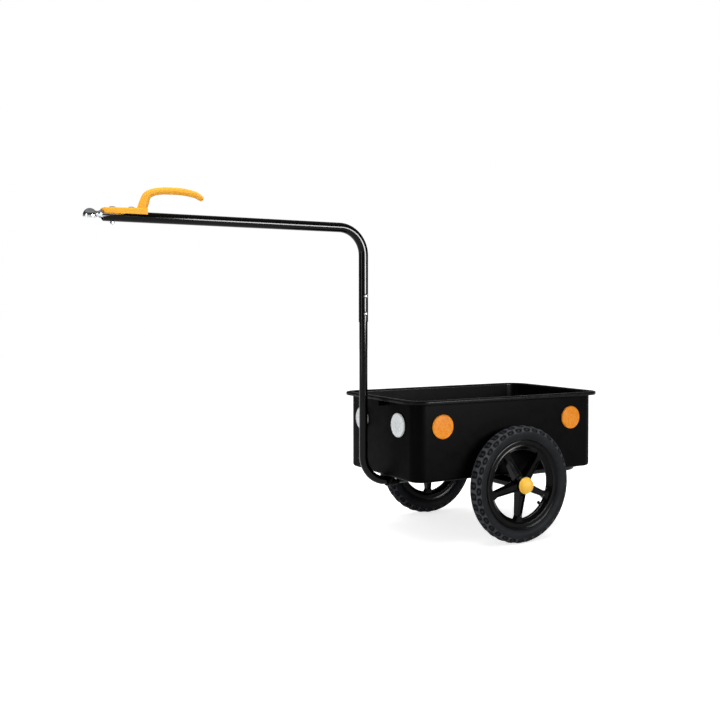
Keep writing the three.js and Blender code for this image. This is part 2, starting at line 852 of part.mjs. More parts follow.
// Latch about its pivot: a claw that reaches forward under the ball, and an arm that runs back
// under the spring and down to the finger trigger.
function latch() {
  const half = latchHubRadius / 2;
  const armUnder = -latchSeatDrop - latchArmThickness;
  const triggerFront = latchTriggerThickness - latchTriggerReach;
  const claw = [
    [-half, half],
    [-half, -half],
    [latchClawReach - latchClawThickness, -latchClawDrop],
    [latchClawReach, -latchClawDrop],
    [half, half],
  ];
  const trigger = [
    [-latchTriggerReach, -latchSeatDrop],
    [-latchTriggerReach, -latchTriggerDrop],
    [triggerFront, -latchTriggerDrop],
    [triggerFront, armUnder],
    [half, armUnder],
    [half, 0],
    [-half, 0],
    [-latchHubRadius, -latchSeatDrop],
  ];
  const barrel = barY(latchHubRadius, -latchHalfThickness, latchHalfThickness, boltSegments);
  const arms = [claw, trigger].map((outline) => acrossY(outline, latchHalfThickness));
  return geometryOf(cutBy(joined(barrel, ...arms), crossHole(0, 0, latchPinRadius + seatGap)));
}

// The centreline of the latch's compression spring, from height 0 up.
function springLine() {
  const steps = springCurls * springStepsPerCurl;
  const rise = springHeight - 2 * springWireRadius;
  return Array.from({ length: steps + 1 }, (_, i) => {
    const turn = (2 * Math.PI * i) / springStepsPerCurl;
    const z = springWireRadius + (rise * i) / steps;
    return new THREE.Vector3(springRadius * Math.cos(turn), springRadius * Math.sin(turn), z);
  });
}

function latchSpring() {
  const section = ring(0, 0, springWireRadius, springSides).reverse();
  const rings = springLine().map((centre) => {
    const out = new THREE.Vector3(centre.x, centre.y, 0).normalize();
    return section.map(([across, up]) => [
      centre.x + out.x * across,
      centre.y + out.y * across,
      centre.z + up,
    ]);
  });
  return loft(rings);
}

// The least gap between two curls of the spring, from its centreline's points.
function leastSpringGap() {
  const line = springLine();
  const gaps = line.flatMap((point, i) =>
    line.slice(i + springStepsPerCurl / 2).map((other) => point.distanceTo(other) - 2 * springWireRadius),
  );
  return Math.min(...gaps);
}

// A section of the handle's saddle, with rounded shoulders. Its foot and its top may differ in x.
function saddleSection(topX, footX, top) {
  const foot = boomHeight + saddleSkirtRise;
  const shoulderY = saddleHalfWidth - saddleEdgeRadius;
  const shoulderZ = top - saddleEdgeRadius;
  const outline = [
    [saddleHalfWidth, foot],
    ...arc(shoulderY, shoulderZ, saddleEdgeRadius, 0, 90, 3),
    ...arc(-shoulderY, shoulderZ, saddleEdgeRadius, 90, 180, 3),
    [-saddleHalfWidth, foot],
  ];
  return outline.map(([y, z]) => [THREE.MathUtils.lerp(footX, topX, (z - foot) / (top - foot)), y, z]);
}

// Height of the saddle's top at x.
function saddleTop(x) {
  const share = (boomEnd - x) / saddleLength;
  return boomHeight + THREE.MathUtils.lerp(saddleFrontTopRise, saddleRearTopRise, share);
}

// The handle's grip: ovals square to a smooth line from its foot to its tip.
function grip() {
  const footX = boomEnd - gripFootInset;
  const places = gripShares.map(
    ([back, up]) => new THREE.Vector3(footX - gripReach * back, 0, boomHeight + gripRise * up),
  );
  const rings = gripShares.map(([, , thick, wide], i) => {
    const before = places[Math.max(i - 1, 0)];
    const after = places[Math.min(i + 1, places.length - 1)];
    const ahead = after.clone().sub(before).normalize();
    const outward = ahead.cross(new THREE.Vector3(0, 1, 0));
    const section = ring(0, 0, (gripWidth * wide) / 2, gripSides, (gripThickness * thick) / 2);
    return section.map(([across, out]) => [
      places[i].x + outward.x * out,
      across,
      places[i].z + outward.z * out,
    ]);
  });
  return loft(rings);
}

function handle() {
  const rearX = boomEnd - saddleLength;
  const saddle = loft([
    saddleSection(rearX, rearX, saddleTop(rearX)),
    saddleSection(boomEnd, boomEnd - saddleNoseSlant, saddleTop(boomEnd)),
  ]);
  const fixings = [frontBoltX, rearScrewX];
  const bosses = fixings.map((x) =>
    alongZ(barY(bossRadius, boomTop, saddleTop(x) + bossHeight, hubSegments)).translate(x, 0, 0),
  );
  const holes = fixings.map((x) => uprightHole(x, 0, boltHoleRadius, boomHeight, saddleTop(x) + cutOverrun));
  const boomSeat = barY(upperTubeRadius + seatGap, rearX - gripThickness, boomEnd + cutOverrun, tubeSides);
  const body = joined(saddle, grip(), ...bosses);
  return geometryOf(cutBy(body, alongX(boomSeat).translate(0, 0, boomHeight), ...holes));
}

// Turns what points along +X to an angle in the wheel's plane, from +X towards +Z.
function atWheelAngle(geometry, degrees) {
  return geometry.rotateY(-THREE.MathUtils.degToRad(degrees));
}

// A four-cornered section of a spoke that runs along +X, at a radius.
function spokeSection(radius, halfWidth, low, high) {
  return [
    [radius, low, -halfWidth],
    [radius, high, -halfWidth],
    [radius, high, halfWidth],
    [radius, low, halfWidth],
  ];
}

// The sizes of a spoke at a radius, which taper from the hub out to its flare.
function spokeSizes(radius) {
  const flareStart = windowOuterRadius - spokeFlareLength;
  const tapered = Math.min(Math.max(radius, hubOutboardRadius), flareStart);
  const taper = (atHub, atRim) =>
    THREE.MathUtils.mapLinear(tapered, hubOutboardRadius, flareStart, atHub, atRim);
  const halfWidth = radius > flareStart ? spokeFlareWidth / 2 : taper(spokeHubWidth, spokeRimWidth) / 2;
  return { halfWidth, front: taper(spokeHubFace, spokeRimFace), back: -taper(spokeHubBack, spokeRimBack) };
}

// One tapered spoke along +X, flared into the rim, with a channel in each face between two lips.
function spoke() {
  const root = (hubBoreRadius + hubInboardRadius) / 2;
  const flareStart = windowOuterRadius - spokeFlareLength;
  const flareEnd = windowOuterRadius + rimBandChamfer;
  const body = [root, hubOutboardRadius, flareStart, flareEnd, rimStepRadius].map((radius) => {
    const { halfWidth, front, back } = spokeSizes(radius);
    return spokeSection(radius, halfWidth, back, front);
  });
  const channelEnds = [hubOutboardRadius + spokeGrooveInset, flareStart];
  const frontChannel = channelEnds.map((radius) => {
    const { halfWidth, front } = spokeSizes(radius);
    return spokeSection(radius, halfWidth - spokeLip, front - spokeGrooveDepth, front + cutOverrun);
  });
  const backChannel = channelEnds.map((radius) => {
    const { halfWidth, back } = spokeSizes(radius);
    return spokeSection(radius, halfWidth - spokeLip, back - cutOverrun, back + spokeGrooveDepth);
  });
  return geometryOf(cutBy(joined(loft(body)), loft(frontChannel), loft(backChannel)));
}

// Rim: the well and bead seats outside, two flanges, and the stepped band that the spokes meet.
function rim() {
  return turned(
    mirrored([
      [rimWellRadius, rimWellHalfWidth - rimFlangeTaper],
      [beadSeatRadius - rimFlangeTaper, rimWellHalfWidth],
      [beadSeatRadius, rimSeatHalfWidth],
      [rimFlangeTop, rimHalfWidth - rimFlangeThickness],
      [rimFlangeTop, rimHalfWidth],
      [rimStepRadius, rimHalfWidth - rimFlangeTaper],
      [rimStepRadius, rimHalfWidth - rimFlangeTaper - rimStepDepth],
      [windowOuterRadius + rimBandChamfer, rimBandHalfWidth],
      [windowOuterRadius, rimBandHalfWidth - rimBandChamfer],
    ]),
    rimSegments,
  );
}

// Hub barrel, solid inside.
function hub() {
  return turned(
    [
      [0, -hubInboardReach],
      [hubInboardRadius, -hubInboardReach],
      [hubOutboardRadius, -spokeHubBack],
      [hubOutboardRadius, hubOutboardReach],
      [0, hubOutboardReach],
    ],
    hubSegments,
  );
}

// A bar along a wheel's radius at the valve's angle.
function valveBar(radius, from, to) {
  return atWheelAngle(alongX(barY(radius, from, to, boltSegments)), valveAngle);
}

// One-piece moulded wheel: rim, hub and five channelled spokes, bored for its bushes and valve.
function magWheel() {
  const spokes = spokeAngles.map((degrees) => atWheelAngle(spoke(), degrees));
  const bore = barY(hubBoreRadius, -hubInboardReach - cutOverrun, pocketFloor + cutOverrun, hubSegments);
  const pocket = barY(hubPocketRadius, pocketFloor, hubOutboardReach + cutOverrun, hubSegments);
  const valveHole = valveBar(valveRadius + seatGap, valveEnd, beadSeatRadius);
  return geometryOf(cutBy(joined(rim(), hub(), ...spokes), bore, pocket, valveHole));
}

// Half the outline of the room inside the tyre, drawn in on all sides by an inset.
function tyreRoom(inset) {
  const crown = axleHeight - treadThickness;
  return [
    [crown - inset, 0],
    [crown - tyreShoulderDrop / 2 - inset, tyreShoulderHalfWidth - sidewallThickness - inset],
    [axleHeight - tyreWidestDrop, tyreHalfWidth - sidewallThickness - inset],
    [rimFlangeTop + seatGap + inset, beadToe + rimFlangeTaper - inset],
  ];
}

// Tyre: a carcass with a knobbly tread, open between its beads.
function tyre() {
  const carcass = turned(
    mirrored([
      [axleHeight, tyreCrownHalfWidth],
      [axleHeight - tyreShoulderDrop, tyreShoulderHalfWidth],
      [axleHeight - tyreWidestDrop, tyreHalfWidth],
      [rimFlangeTop + tyreWaistRise, tyreWaistHalfWidth],
      [rimFlangeTop + seatGap, beadFace + rimFlangeTaper - seatGap],
      [beadSeatRadius + seatGap, beadFace],
    ]),
    treadSegments,
  );
  cutTread(carcass);
  const room = turned(mirrored([...tyreRoom(0), [rimWellRadius, beadToe]]), cavitySegments);
  return geometryOf(cutBy(joined(carcass), room));
}

// Draws in every other point of the tread's shoulders, turn and turn about on the two sides, so
// that blocks stand up between the hollows. Everywhere else only every other segment is kept.
function cutTread(carcass) {
  const points = carcass.getAttribute("position");
  const shoulder = axleHeight - tyreShoulderDrop;
  for (let i = 0; i < points.count; i += 1) {
    const [x, h, z] = [points.getX(i), points.getY(i), points.getZ(i)];
    const radius = Math.hypot(x, z);
    const segment = Math.round((Math.atan2(x, z) * treadSegments) / (2 * Math.PI));
    if (Math.abs(radius - shoulder) < seatGap) {
      const drawnIn = (segment + (h > 0 ? 1 : 0)) % 2 === 0 ? radius - treadDepth : radius;
      points.setXYZ(i, (x * drawnIn) / radius, h, (z * drawnIn) / radius);
    } else {
      const angle = (4 * Math.PI * Math.floor(segment / 2)) / treadSegments;
      points.setXYZ(i, radius * Math.sin(angle), h, radius * Math.cos(angle));
    }
  }
}

// The outline of the inner tube at an inset from the tyre's room, clear of the rim's seat.
function innerTubeOutline(inset) {
  const seat = beadSeatRadius / Math.cos(Math.PI / cavitySegments);
  const [crown, , widest] = tyreRoom(inset);
  return mirrored([crown, widest, [seat + inset, beadToe - inset]]);
}

// Inner tube, hollow, with its valve stem bored through to the hollow.
function innerTube() {
  const skin = turned(innerTubeOutline(innerTubeGap), cavitySegments);
  const hollow = turned(innerTubeOutline(innerTubeGap + innerTubeThickness), cavitySegments);
  const wall = beadSeatRadius + 2 * innerTubeThickness;
  const stem = valveBar(valveRadius, valveEnd, wall);
  const bore = valveBar(valveBoreRadius, valveEnd - cutOverrun, wall + cutOverrun);
  return geometryOf(cutBy(joined(skin, stem), hollow, bore));
}

function valveCap() {
  const top = valveEnd - seatGap - valveCapWall;
  const bore = valveRadius + seatGap;
  const body = joined(valveBar(bore + valveCapWall, top, top + valveCapLength));
  return geometryOf(cutBy(body, valveBar(bore, valveEnd - seatGap, top + valveCapLength + cutOverrun)));
}

// Flanged nylon bush on height 0: the barrel runs down from it and the flange lies on it.
function bush() {
  const bore = journalRadius + seatGap;
  const barrel = hubBoreRadius - seatGap;
  return turned(
    [
      [bore, -bushBarrelLength],
      [barrel, -bushBarrelLength],
      [barrel, 0],
      [bushFlangeRadius, 0],
      [bushFlangeRadius, bushFlangeThickness],
      [bore, bushFlangeThickness],
    ],
    hubSegments,
  );
}

function axleWasher() {
  const bore = journalRadius + seatGap;
  return turned(
    [
      [bore, 0],
      [axleWasherRadius, 0],
      [axleWasherRadius, axleWasherThickness],
      [bore, axleWasherThickness],
    ],
    hubSegments,
  );
}

// Domed hub cap on height 0, with an edge and a skirt that snaps into the hub's pocket.
function hubCap() {
  const skirt = hubPocketRadius - seatGap;
  const dome = hubCapHeight - hubCapEdgeHeight;
  const roomRadius = hubCapDomeRadius - hubCapWall;
  const inside = domeSection(hubCapEdgeHeight, roomRadius, dome - hubCapWall, domeSteps / 2);
  return turned(
    [
      ...inside.reverse(),
      [roomRadius, hubCapWall],
      [skirt - hubCapWall, hubCapWall],
      [skirt - hubCapWall, -hubCapSkirtDepth],
      [skirt, -hubCapSkirtDepth],
      [skirt, 0],
      [hubCapRadius, 0],
      [hubCapRadius, hubCapEdgeHeight],
      ...domeSection(hubCapEdgeHeight, hubCapDomeRadius, dome),
    ],
    hubSegments,
  );
}

// Finishes
function finish(color, roughness, metalness) {
  return () => new THREE.MeshStandardMaterial({ color, roughness, metalness });
}

const blackPlastic = finish(0x121212, 0.42, 0);
const wheelPlastic = finish(0x0e0e0f, 0.35, 0);
const blackPaint = finish(0x0c0c0d, 0.22, 0.1);
const tyreRubber = finish(0x2a2b2d, 0.85, 0);
const tubeRubber = finish(0x1a1a1a, 0.7, 0);
const orangePlastic = finish(0xfcb53d, 0.35, 0);
const amberLens = finish(0xff9423, 0.25, 0);
const clearLens = finish(0xd2d3d2, 0.2, 0);
const redLens = finish(0xc01818, 0.25, 0);
const chrome = finish(0xc4c8cc, 0.08, 1);
const zincSteel = finish(0x9a9c9c, 0.35, 1);
const nylon = finish(0xd8d6ce, 0.6, 0);

function mesh(name, geometry, material, x = 0, y = 0, z = 0) {
  const piece = new THREE.Mesh(geometry, material());
  piece.name = name;
  piece.position.set(x, y, z);
  return piece;
}

const root = new THREE.Group();

// Everything in the axle's frame, moved so that the trailer's middle is over the origin
const trailer = new THREE.Group();
trailer.position.x = -(partFront + partRear) / 2;
root.add(trailer);

trailer.add(
  mesh("tub", tub(), blackPlastic),
  mesh("axle_beam", axleBeam(), blackPaint, 0, 0, axleHeight),
  mesh("rear_loop", rearLoop(), blackPaint),
  mesh("drawbar_receiver", drawbarReceiver(), blackPaint),
  mesh("front_clamp", frontClamp(), blackPlastic, clampX - clampLength / 2, 0, legHeight),
  mesh("drawbar_lower", lowerDrawbar(), blackPaint),
  mesh("drawbar_upper", upperDrawbar(), blackPaint),
  mesh("coupler", coupler(), chrome),
  mesh("coupler_latch", latch(), chrome, pivotX, 0, pivotHeight),
  mesh("latch_spring", latchSpring(), zincSteel, springX, 0, springFoot),
  mesh("handle", handle(), orangePlastic),
);

const pinHalfLength = neckHalfWidth + seatGap;
const latchPin = barY(latchPinRadius, -pinHalfLength, pinHalfLength, boltSegments);
trailer.add(mesh("latch_pin", latchPin, zincSteel, pivotX, 0, pivotHeight));

// Bolts through the tub's floor, with their heads inside the tub
for (const { end, x, y, grip: clamped } of tubBolts) {
  const headBase = floorTop + seatGap;
  const nutTop = underTub - clamped - seatGap;
  const length = headBase - nutTop + smallNutHeight + boltTail;
  const bolt = alongZ(domedBolt(tubBoltHeadRadius, tubBoltHeadHeight, length));
  trailer.add(mesh(`tub_bolt_${end}`, bolt, zincSteel, x, y, headBase));
  trailer.add(mesh(`tub_nut_${end}`, alongZ(smallNut()), zincSteel, x, y, nutTop - smallNutHeight));
}

// Two bolts across the sleeve joint of the drawbar, with their heads on the left
sleeveBoltHeights.forEach((z, i) => {
  const seat = upperTubeRadius + seatGap;
  const bolt = domedBolt(smallBoltHeadRadius, smallBoltHeadHeight, 2 * seat + smallNutHeight + boltTail);
  trailer.add(mesh(`drawbar_bolt_${i + 1}`, bolt, zincSteel, postX, seat, z));
  trailer.add(mesh(`drawbar_nut_${i + 1}`, smallNut(), zincSteel, postX, -seat - smallNutHeight, z));
});

// One bolt across the receiver
const receiverSeat = receiverRadius + seatGap;
const receiverNut = hexNut(largeNutRadius, largeNutHeight, receiverBoltRadius);
trailer.add(
  mesh("receiver_bolt", receiverBolt(), zincSteel, receiverBoltX, receiverSeat, legHeight),
  mesh("receiver_nut", receiverNut, zincSteel, receiverBoltX, -receiverSeat - largeNutHeight, legHeight),
);

// The handle's bolt through saddle, shank and boom, and its screw into the boom's top
const frontBoltSeat = saddleTop(frontBoltX) + bossHeight + seatGap;
const rearScrewSeat = saddleTop(rearScrewX) + bossHeight + seatGap;
const handleNutBase = boomBottom - seatGap - smallNutHeight;
const frontBoltLength = frontBoltSeat - handleNutBase + boltTail;
const rearScrewLength = rearScrewSeat - boomTop + screwDepth;
const frontBolt = domedBolt(handleBoltHeadRadius, handleBoltHeadHeight, frontBoltLength);
const rearScrew = domedBolt(handleBoltHeadRadius, handleBoltHeadHeight, rearScrewLength);
trailer.add(
  mesh("handle_bolt", alongZ(frontBolt), zincSteel, frontBoltX, 0, frontBoltSeat),
  mesh("handle_nut", alongZ(smallNut()), zincSteel, frontBoltX, 0, handleNutBase),
  mesh("handle_screw", alongZ(rearScrew), zincSteel, rearScrewX, 0, rearScrewSeat),
);

// Reflectors on the four walls of the tub, each turned from the left side's way to its own
const frontFace = tubFront + seatGap;
const rearFace = tubRear - seatGap;
const sideFace = tubSide + seatGap;
const sideFrontX = tubFront - sideReflectorFrontInset;
const sideRearX = tubRear + sideReflectorRearInset;
const reflectors = [
  ["front_left", clearLens, frontFace, frontReflectorHalfSpacing, -Math.PI / 2],
  ["front_right", clearLens, frontFace, -frontReflectorHalfSpacing, -Math.PI / 2],
  ["left_front", amberLens, sideFrontX, sideFace, 0],
  ["left_rear", amberLens, sideRearX, sideFace, 0],
  ["right_front", amberLens, sideFrontX, -sideFace, Math.PI],
  ["right_rear", amberLens, sideRearX, -sideFace, Math.PI],
  ["rear_left", redLens, rearFace, frontReflectorHalfSpacing, Math.PI / 2],
  ["rear_right", redLens, rearFace, -frontReflectorHalfSpacing, Math.PI / 2],
];
for (const [place, lens, x, y, turn] of reflectors) {
  trailer.add(mesh(`reflector_${place}`, reflector().rotateZ(turn), lens, x, y, reflectorHeight));
}

// One wheel with its axle end, drawn for the left side and turned round for the right
function wheelSet(side, turn, spin) {
  const set = new THREE.Group();
  set.position.set(0, wheelPlane * Math.cos(turn), axleHeight);
  set.rotation.z = turn;
  const axleNut = hexNut(axleNutRadius, axleNutHeight, journalRadius, hubSegments);
  set.add(
    mesh(`${side}_axle_stub`, axleStub(), zincSteel),
    mesh(`${side}_axle_washer`, axleWasher(), zincSteel, 0, axleWasherBase),
    mesh(`${side}_axle_nut`, axleNut, zincSteel, 0, axleNutBase),
  );
  const rolling = new THREE.Group();
  rolling.rotation.y = spin;
  rolling.add(
    mesh(`${side}_wheel`, magWheel(), wheelPlastic),
    mesh(`${side}_tyre`, tyre(), tyreRubber),
    mesh(`${side}_inner_tube`, innerTube(), tubeRubber),
    mesh(`${side}_valve_cap`, valveCap(), blackPlastic),
    mesh(`${side}_outer_bush`, bush(), nylon, 0, outerBushBase),
    mesh(`${side}_inner_bush`, bush().rotateX(Math.PI), nylon, 0, -innerBushBase),
    mesh(`${side}_hub_cap`, hubCap(), orangePlastic, 0, hubCapBase),
  );
  set.add(rolling);
  return set;
}

trailer.add(wheelSet("left", 0, leftWheelSpin), wheelSet("right", Math.PI, rightWheelSpin));

console.log(`latch spring: least gap between curls ${leastSpringGap().toFixed(2)} mm`);

export default root;
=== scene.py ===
"""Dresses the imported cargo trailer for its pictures.

Lengths are in millimetres in the axle's frame: x forward from the axle, y to the trailer's left, z up from
the floor. piece() turns them into metres in the part's frame. The stage's lamps and floor are in metres.
"""

import json
import math

import bmesh
import bpy
from mathutils import Matrix, Vector

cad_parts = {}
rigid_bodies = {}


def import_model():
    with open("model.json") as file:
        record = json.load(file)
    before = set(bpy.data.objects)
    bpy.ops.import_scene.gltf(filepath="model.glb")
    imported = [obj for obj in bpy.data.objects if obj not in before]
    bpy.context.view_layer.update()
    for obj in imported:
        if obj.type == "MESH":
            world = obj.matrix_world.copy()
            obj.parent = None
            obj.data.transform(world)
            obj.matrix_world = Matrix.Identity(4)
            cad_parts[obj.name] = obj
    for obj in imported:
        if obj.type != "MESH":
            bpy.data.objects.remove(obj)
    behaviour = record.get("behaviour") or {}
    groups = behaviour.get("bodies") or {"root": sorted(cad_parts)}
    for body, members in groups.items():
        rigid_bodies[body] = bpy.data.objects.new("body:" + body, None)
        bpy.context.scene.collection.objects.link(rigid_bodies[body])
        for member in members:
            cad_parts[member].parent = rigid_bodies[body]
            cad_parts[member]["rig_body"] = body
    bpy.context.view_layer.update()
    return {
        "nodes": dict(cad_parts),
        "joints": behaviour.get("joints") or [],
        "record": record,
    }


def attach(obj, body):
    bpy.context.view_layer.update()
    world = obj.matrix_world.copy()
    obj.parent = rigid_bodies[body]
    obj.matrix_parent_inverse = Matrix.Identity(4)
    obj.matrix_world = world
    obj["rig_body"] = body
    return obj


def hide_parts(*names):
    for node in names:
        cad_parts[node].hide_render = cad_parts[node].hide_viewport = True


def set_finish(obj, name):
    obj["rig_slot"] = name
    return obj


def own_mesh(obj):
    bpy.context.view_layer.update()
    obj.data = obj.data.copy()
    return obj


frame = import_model()

MM = 0.001
AXLE_X = next(j["pos_m"][0] for j in frame["joints"] if j["name"] == "left_wheel_spin")

# Clearance between pieces, and the reach of cutting shapes past what they cut
SEAT_GAP = 0.3
OVERCUT = 5
CUT_HALF_WIDTH = 30

# Radius at which a turned outline counts as having reached its axis
AXIS = 0.01

# Roundings of small edges
EDGE_ROUND = 0.8
FINE_ROUND = 0.6

# Facets of round shapes
TUBE_SIDES = 40
TURNED_SIDES = 48
FINE_SIDES = 64
RIM_SIDES = 144
CORNER_STEPS = 14

# Tub
TUB_LENGTH = 672
TUB_WIDTH = 404
TUB_HEIGHT = 236
TUB_BOTTOM = 196
TUB_SHIFT = -2
TUB_CORNER = 42
TUB_WALL = 4
TUB_DRAFT = 1.2
TUB_FOOT = 8
TUB_INNER_FOOT = 10
TUB_RIM_OUT = 22
TUB_RIM_FLANGE = 4
TUB_RIM_ROLL = 5
TUB_RIM_EDGE = 3.6
TUB_RIM_DROP = 16
TUB_RIM_FLAT = 8
TUB_LIP_DEPTH = 10
TUB_LIP_THICKNESS = 3
TUB_LIP_ROUND = 1
PAD_HALF_WIDTH = 26
PAD_HEIGHT = 27
PAD_EDGE = 4
TUB_FRONT = TUB_LENGTH / 2 + TUB_SHIFT
TUB_REAR = -TUB_LENGTH / 2 + TUB_SHIFT
TUB_SIDE = TUB_WIDTH / 2

# Reflectors
REFLECTOR_RADIUS = 35
RING_FOOT_HEIGHT = 5.6
RING_HEIGHT = 6.6
RING_INSET = 2.2
RING_ROUND = 1
LENS_RADIUS = 31.5
LENS_EDGE_HEIGHT = 5.2
LENS_RISE = 1.2
REFLECTOR_HEIGHT = 355
END_REFLECTOR_Y = 107
SIDE_REFLECTOR_X = {"front": TUB_FRONT - 89, "rear": TUB_REAR + 102}

# Wheels. Reaches and heights of hub and rim are measured from the wheel's mid-plane.
AXLE_HEIGHT = 174
TYRE_TO_TUB = 24
TYRE_HALF_WIDTH = 23
WHEEL_PLANE = TUB_SIDE + TYRE_TO_TUB + TYRE_HALF_WIDTH
WHEEL_TURN = {"left": 0, "right": 180}
WHEEL_SPIN = {"left": -5, "right": 0}
BEAD_SEAT_RADIUS = 127
RIM_FLANGE_TOP = 132
RIM_WELL_RADIUS = 119
RIM_HALF_WIDTH = 17
RIM_SEAT_HALF_WIDTH = 12.8
RIM_HOOK = 1.4
RIM_CURL = 2.2
RIM_STEP_RADIUS = 112.5
RIM_STEP_ROUND = 2
WINDOW_RADIUS = 103
BAND_ROUND = 1.6
HUB_RADIUS = 23
HUB_BACK_RADIUS = 19
HUB_BORE = 10.3
HUB_REACH = 26
HUB_BACK_REACH = 23
HUB_FRONT_ROUND = 1.2
HUB_POCKET_RADIUS = 15.5
HUB_POCKET_FLOOR = 14

# Spokes, each tapered from the hub to the start of the flare that meets the rim
SPOKE_COUNT = 5
SPOKE_ANGLES = [360 * i / SPOKE_COUNT - 90 for i in range(SPOKE_COUNT)]
SPOKE_START = 15
SPOKE_END = RIM_STEP_RADIUS - 0.5
SPOKE_HALF_WIDTH = 11.4
SPOKE_HALF_WIDTH_LOSS = 2.9
SPOKE_FLARE = 4.5
SPOKE_FACE = 19
SPOKE_FACE_LOSS = 9
SPOKE_BACK = 12
SPOKE_BACK_LOSS = 3
SPOKE_LIP = 3.4
CHANNEL_DEPTH = 4
CHANNEL_START = HUB_RADIUS + 4
CHANNEL_FULL = HUB_RADIUS + 10
CHANNEL_FADE = 88
CHANNEL_END = 95
FLARE_START = 94

# Hub caps. Heights are measured from the hub's outer face.
HUB_CAP_RADIUS = 24.6
HUB_CAP_EDGE_HEIGHT = 4
HUB_CAP_DOME_RADIUS = 23.1
HUB_CAP_DOME_RISE = 17.6
HUB_CAP_WALL = 2.2
HUB_CAP_SKIRT_DEPTH = 6
HUB_CAP_SHOULDER_INSIDE = 12
HUB_CAP_TOP_INSIDE = 19

# Valve caps
VALVE_ANGLE = SPOKE_ANGLES[0] - 54
VALVE_CAP_START = 91.5
VALVE_CAP_END = 99.4
VALVE_CAP_RADIUS = 4.5
VALVE_CAP_MOUTH_RADIUS = 3.6
VALVE_CAP_TOP_RADIUS = 4.1
KNURL_COUNT = 15
KNURL_RISE = 0.25

# Half of the tyre's section from crown to bead: half width, and drop below the tread
TYRE_OUTLINE = [
    (0, 0), (5, 0.1), (9.5, 1.1), (14, 3.3), (17.8, 6.6), (20.3, 10.8), (22.2, 16), (TYRE_HALF_WIDTH, 21.6),
    (22.6, 27.5), (20.9, 32.6), (18.6, 36.4), (16.6, 38.9), (14.6, 40.6), (12.6, 41.7),
]
BEAD_RADIUS = 127.4
BEAD_HALF_WIDTH = 12.4
RIB_RADIUS = 139.5
RIB_HALF_WIDTH = 1.2
RIB_RISE = 0.45

# Tread: pockets round low knobs, in a row on each shoulder and one on the crown, half a pitch further on.
# Places and ranges are measured out from the crown along the tyre's outside.
TREAD_PITCHES = 34
STEPS_PER_PITCH = 22
TREAD_PITCH = math.tau * AXLE_HEIGHT / TREAD_PITCHES
TREAD_START = 20
TREAD_DEPTH = 4
TREAD_BAR = 8
SHOULDER_MIDDLE = 22.6
SHOULDER_HALF_WIDTH = 7
CROWN_MIDDLE = 5
CROWN_HALF_WIDTH = 9
CROWN_SHORTENING = 1
CROWN_DEPTH_SHARE = 0.9
KNOB_SHIFT = 0.4
KNOB_SIZE_SHARE = 0.42
KNOB_RISE_SHARE = 0.6
LEAN_SHARE = 0.6
LEAN_RANGE = (12, 24)
SHALLOW_SHARE = 0.3
SHALLOW_RANGE = (20, 26)
# Band out from the crown over which the dust and painted sheen on the tread's tops fade out
DUST_AND_SHEEN_END_RANGE = (29, 32)

# Axle beam, from hub to hub but for a bush's flange and the axle end's collar
BUSH_FLANGE = 2
AXLE_COLLAR = 4
BEAM_RADIUS = 15
BEAM_WALL = 2.5
BEAM_END = WHEEL_PLANE - HUB_BACK_REACH - BUSH_FLANGE - AXLE_COLLAR - 3 * SEAT_GAP

# Frame tubes
POST_TO_TUB = 58
LEG_RISE = 2
LEG_START = 20
BOOM_HEIGHT = 932
BOOM_REACH = 768
BOOM_END_SLANT = 6
SLEEVE_HEIGHT = 655
SLEEVE_OVERLAP = 92
LOWER_RADIUS = 12.5
LOWER_WALL = 1.5
UPPER_RADIUS = 14
UPPER_WALL = 1.2
BEND_RADIUS = 80
POST_X = TUB_FRONT + POST_TO_TUB
LEG_HEIGHT = AXLE_HEIGHT + LEG_RISE
BOOM_END = POST_X + BOOM_REACH
BOOM_TOP = BOOM_HEIGHT + UPPER_RADIUS
BOOM_BOTTOM = BOOM_HEIGHT - UPPER_RADIUS
LOOP_RADIUS = 10
LOOP_WALL = 1.5
LOOP_SIDE = 145
LOOP_INSET = 8
LOOP_FRONT = -12
LOOP_BEND_RADIUS = 50
LOOP_HEIGHT = TUB_BOTTOM - SEAT_GAP - LOOP_RADIUS
LOOP_REAR = TUB_REAR + LOOP_INSET + LOOP_RADIUS
RECEIVER_BORE = LOWER_RADIUS + SEAT_GAP
RECEIVER_WALL = 2.4
RECEIVER_START = 12
RECEIVER_END = 190

# Weld beads
WELD_RADIUS = 2.2
WELD_RIPPLE = 0.35
WELD_RIPPLES = 24
WELD_SINK = 0.5
LOOP_WELD_DROP = 2.5

# Notch in the boom's end, which the coupler's shank fills
NOTCH_LENGTH = 59
NOTCH_REAR_RISE = 5.3
NOTCH_FRONT_DROP = 3.9
NOTCH_REAR = BOOM_END - NOTCH_LENGTH
SHANK_RADIUS = UPPER_RADIUS - 0.1

# Coupler, its latch's slot and the latch's coil
COUPLER_REACH = 28
CUP_X = BOOM_END + COUPLER_REACH
CUP_MOUTH = BOOM_HEIGHT - 5
CUP_RADIUS = 17.6
CUP_HEIGHT = 22.6
CUP_SKIRT = 4
SOCKET_RADIUS = 11.4
SOCKET_RISE = 8.5
SOCKET_FLARE = 1.6
SLOT_TOP = BOOM_HEIGHT + 8
SLOT_REAR = BOOM_END - 4
SLOT_FRONT = CUP_X - 9.7
SLOT_HALF_WIDTH = 3.4
SPRING_X = CUP_X - 23.6
SPRING_FOOT = BOOM_HEIGHT + 1.4
SPRING_TOP = SLOT_TOP - SEAT_GAP
SPRING_RADIUS = 1.6
SPRING_WIRE = 0.35
SPRING_CURLS = 4
STEPS_PER_CURL = 20

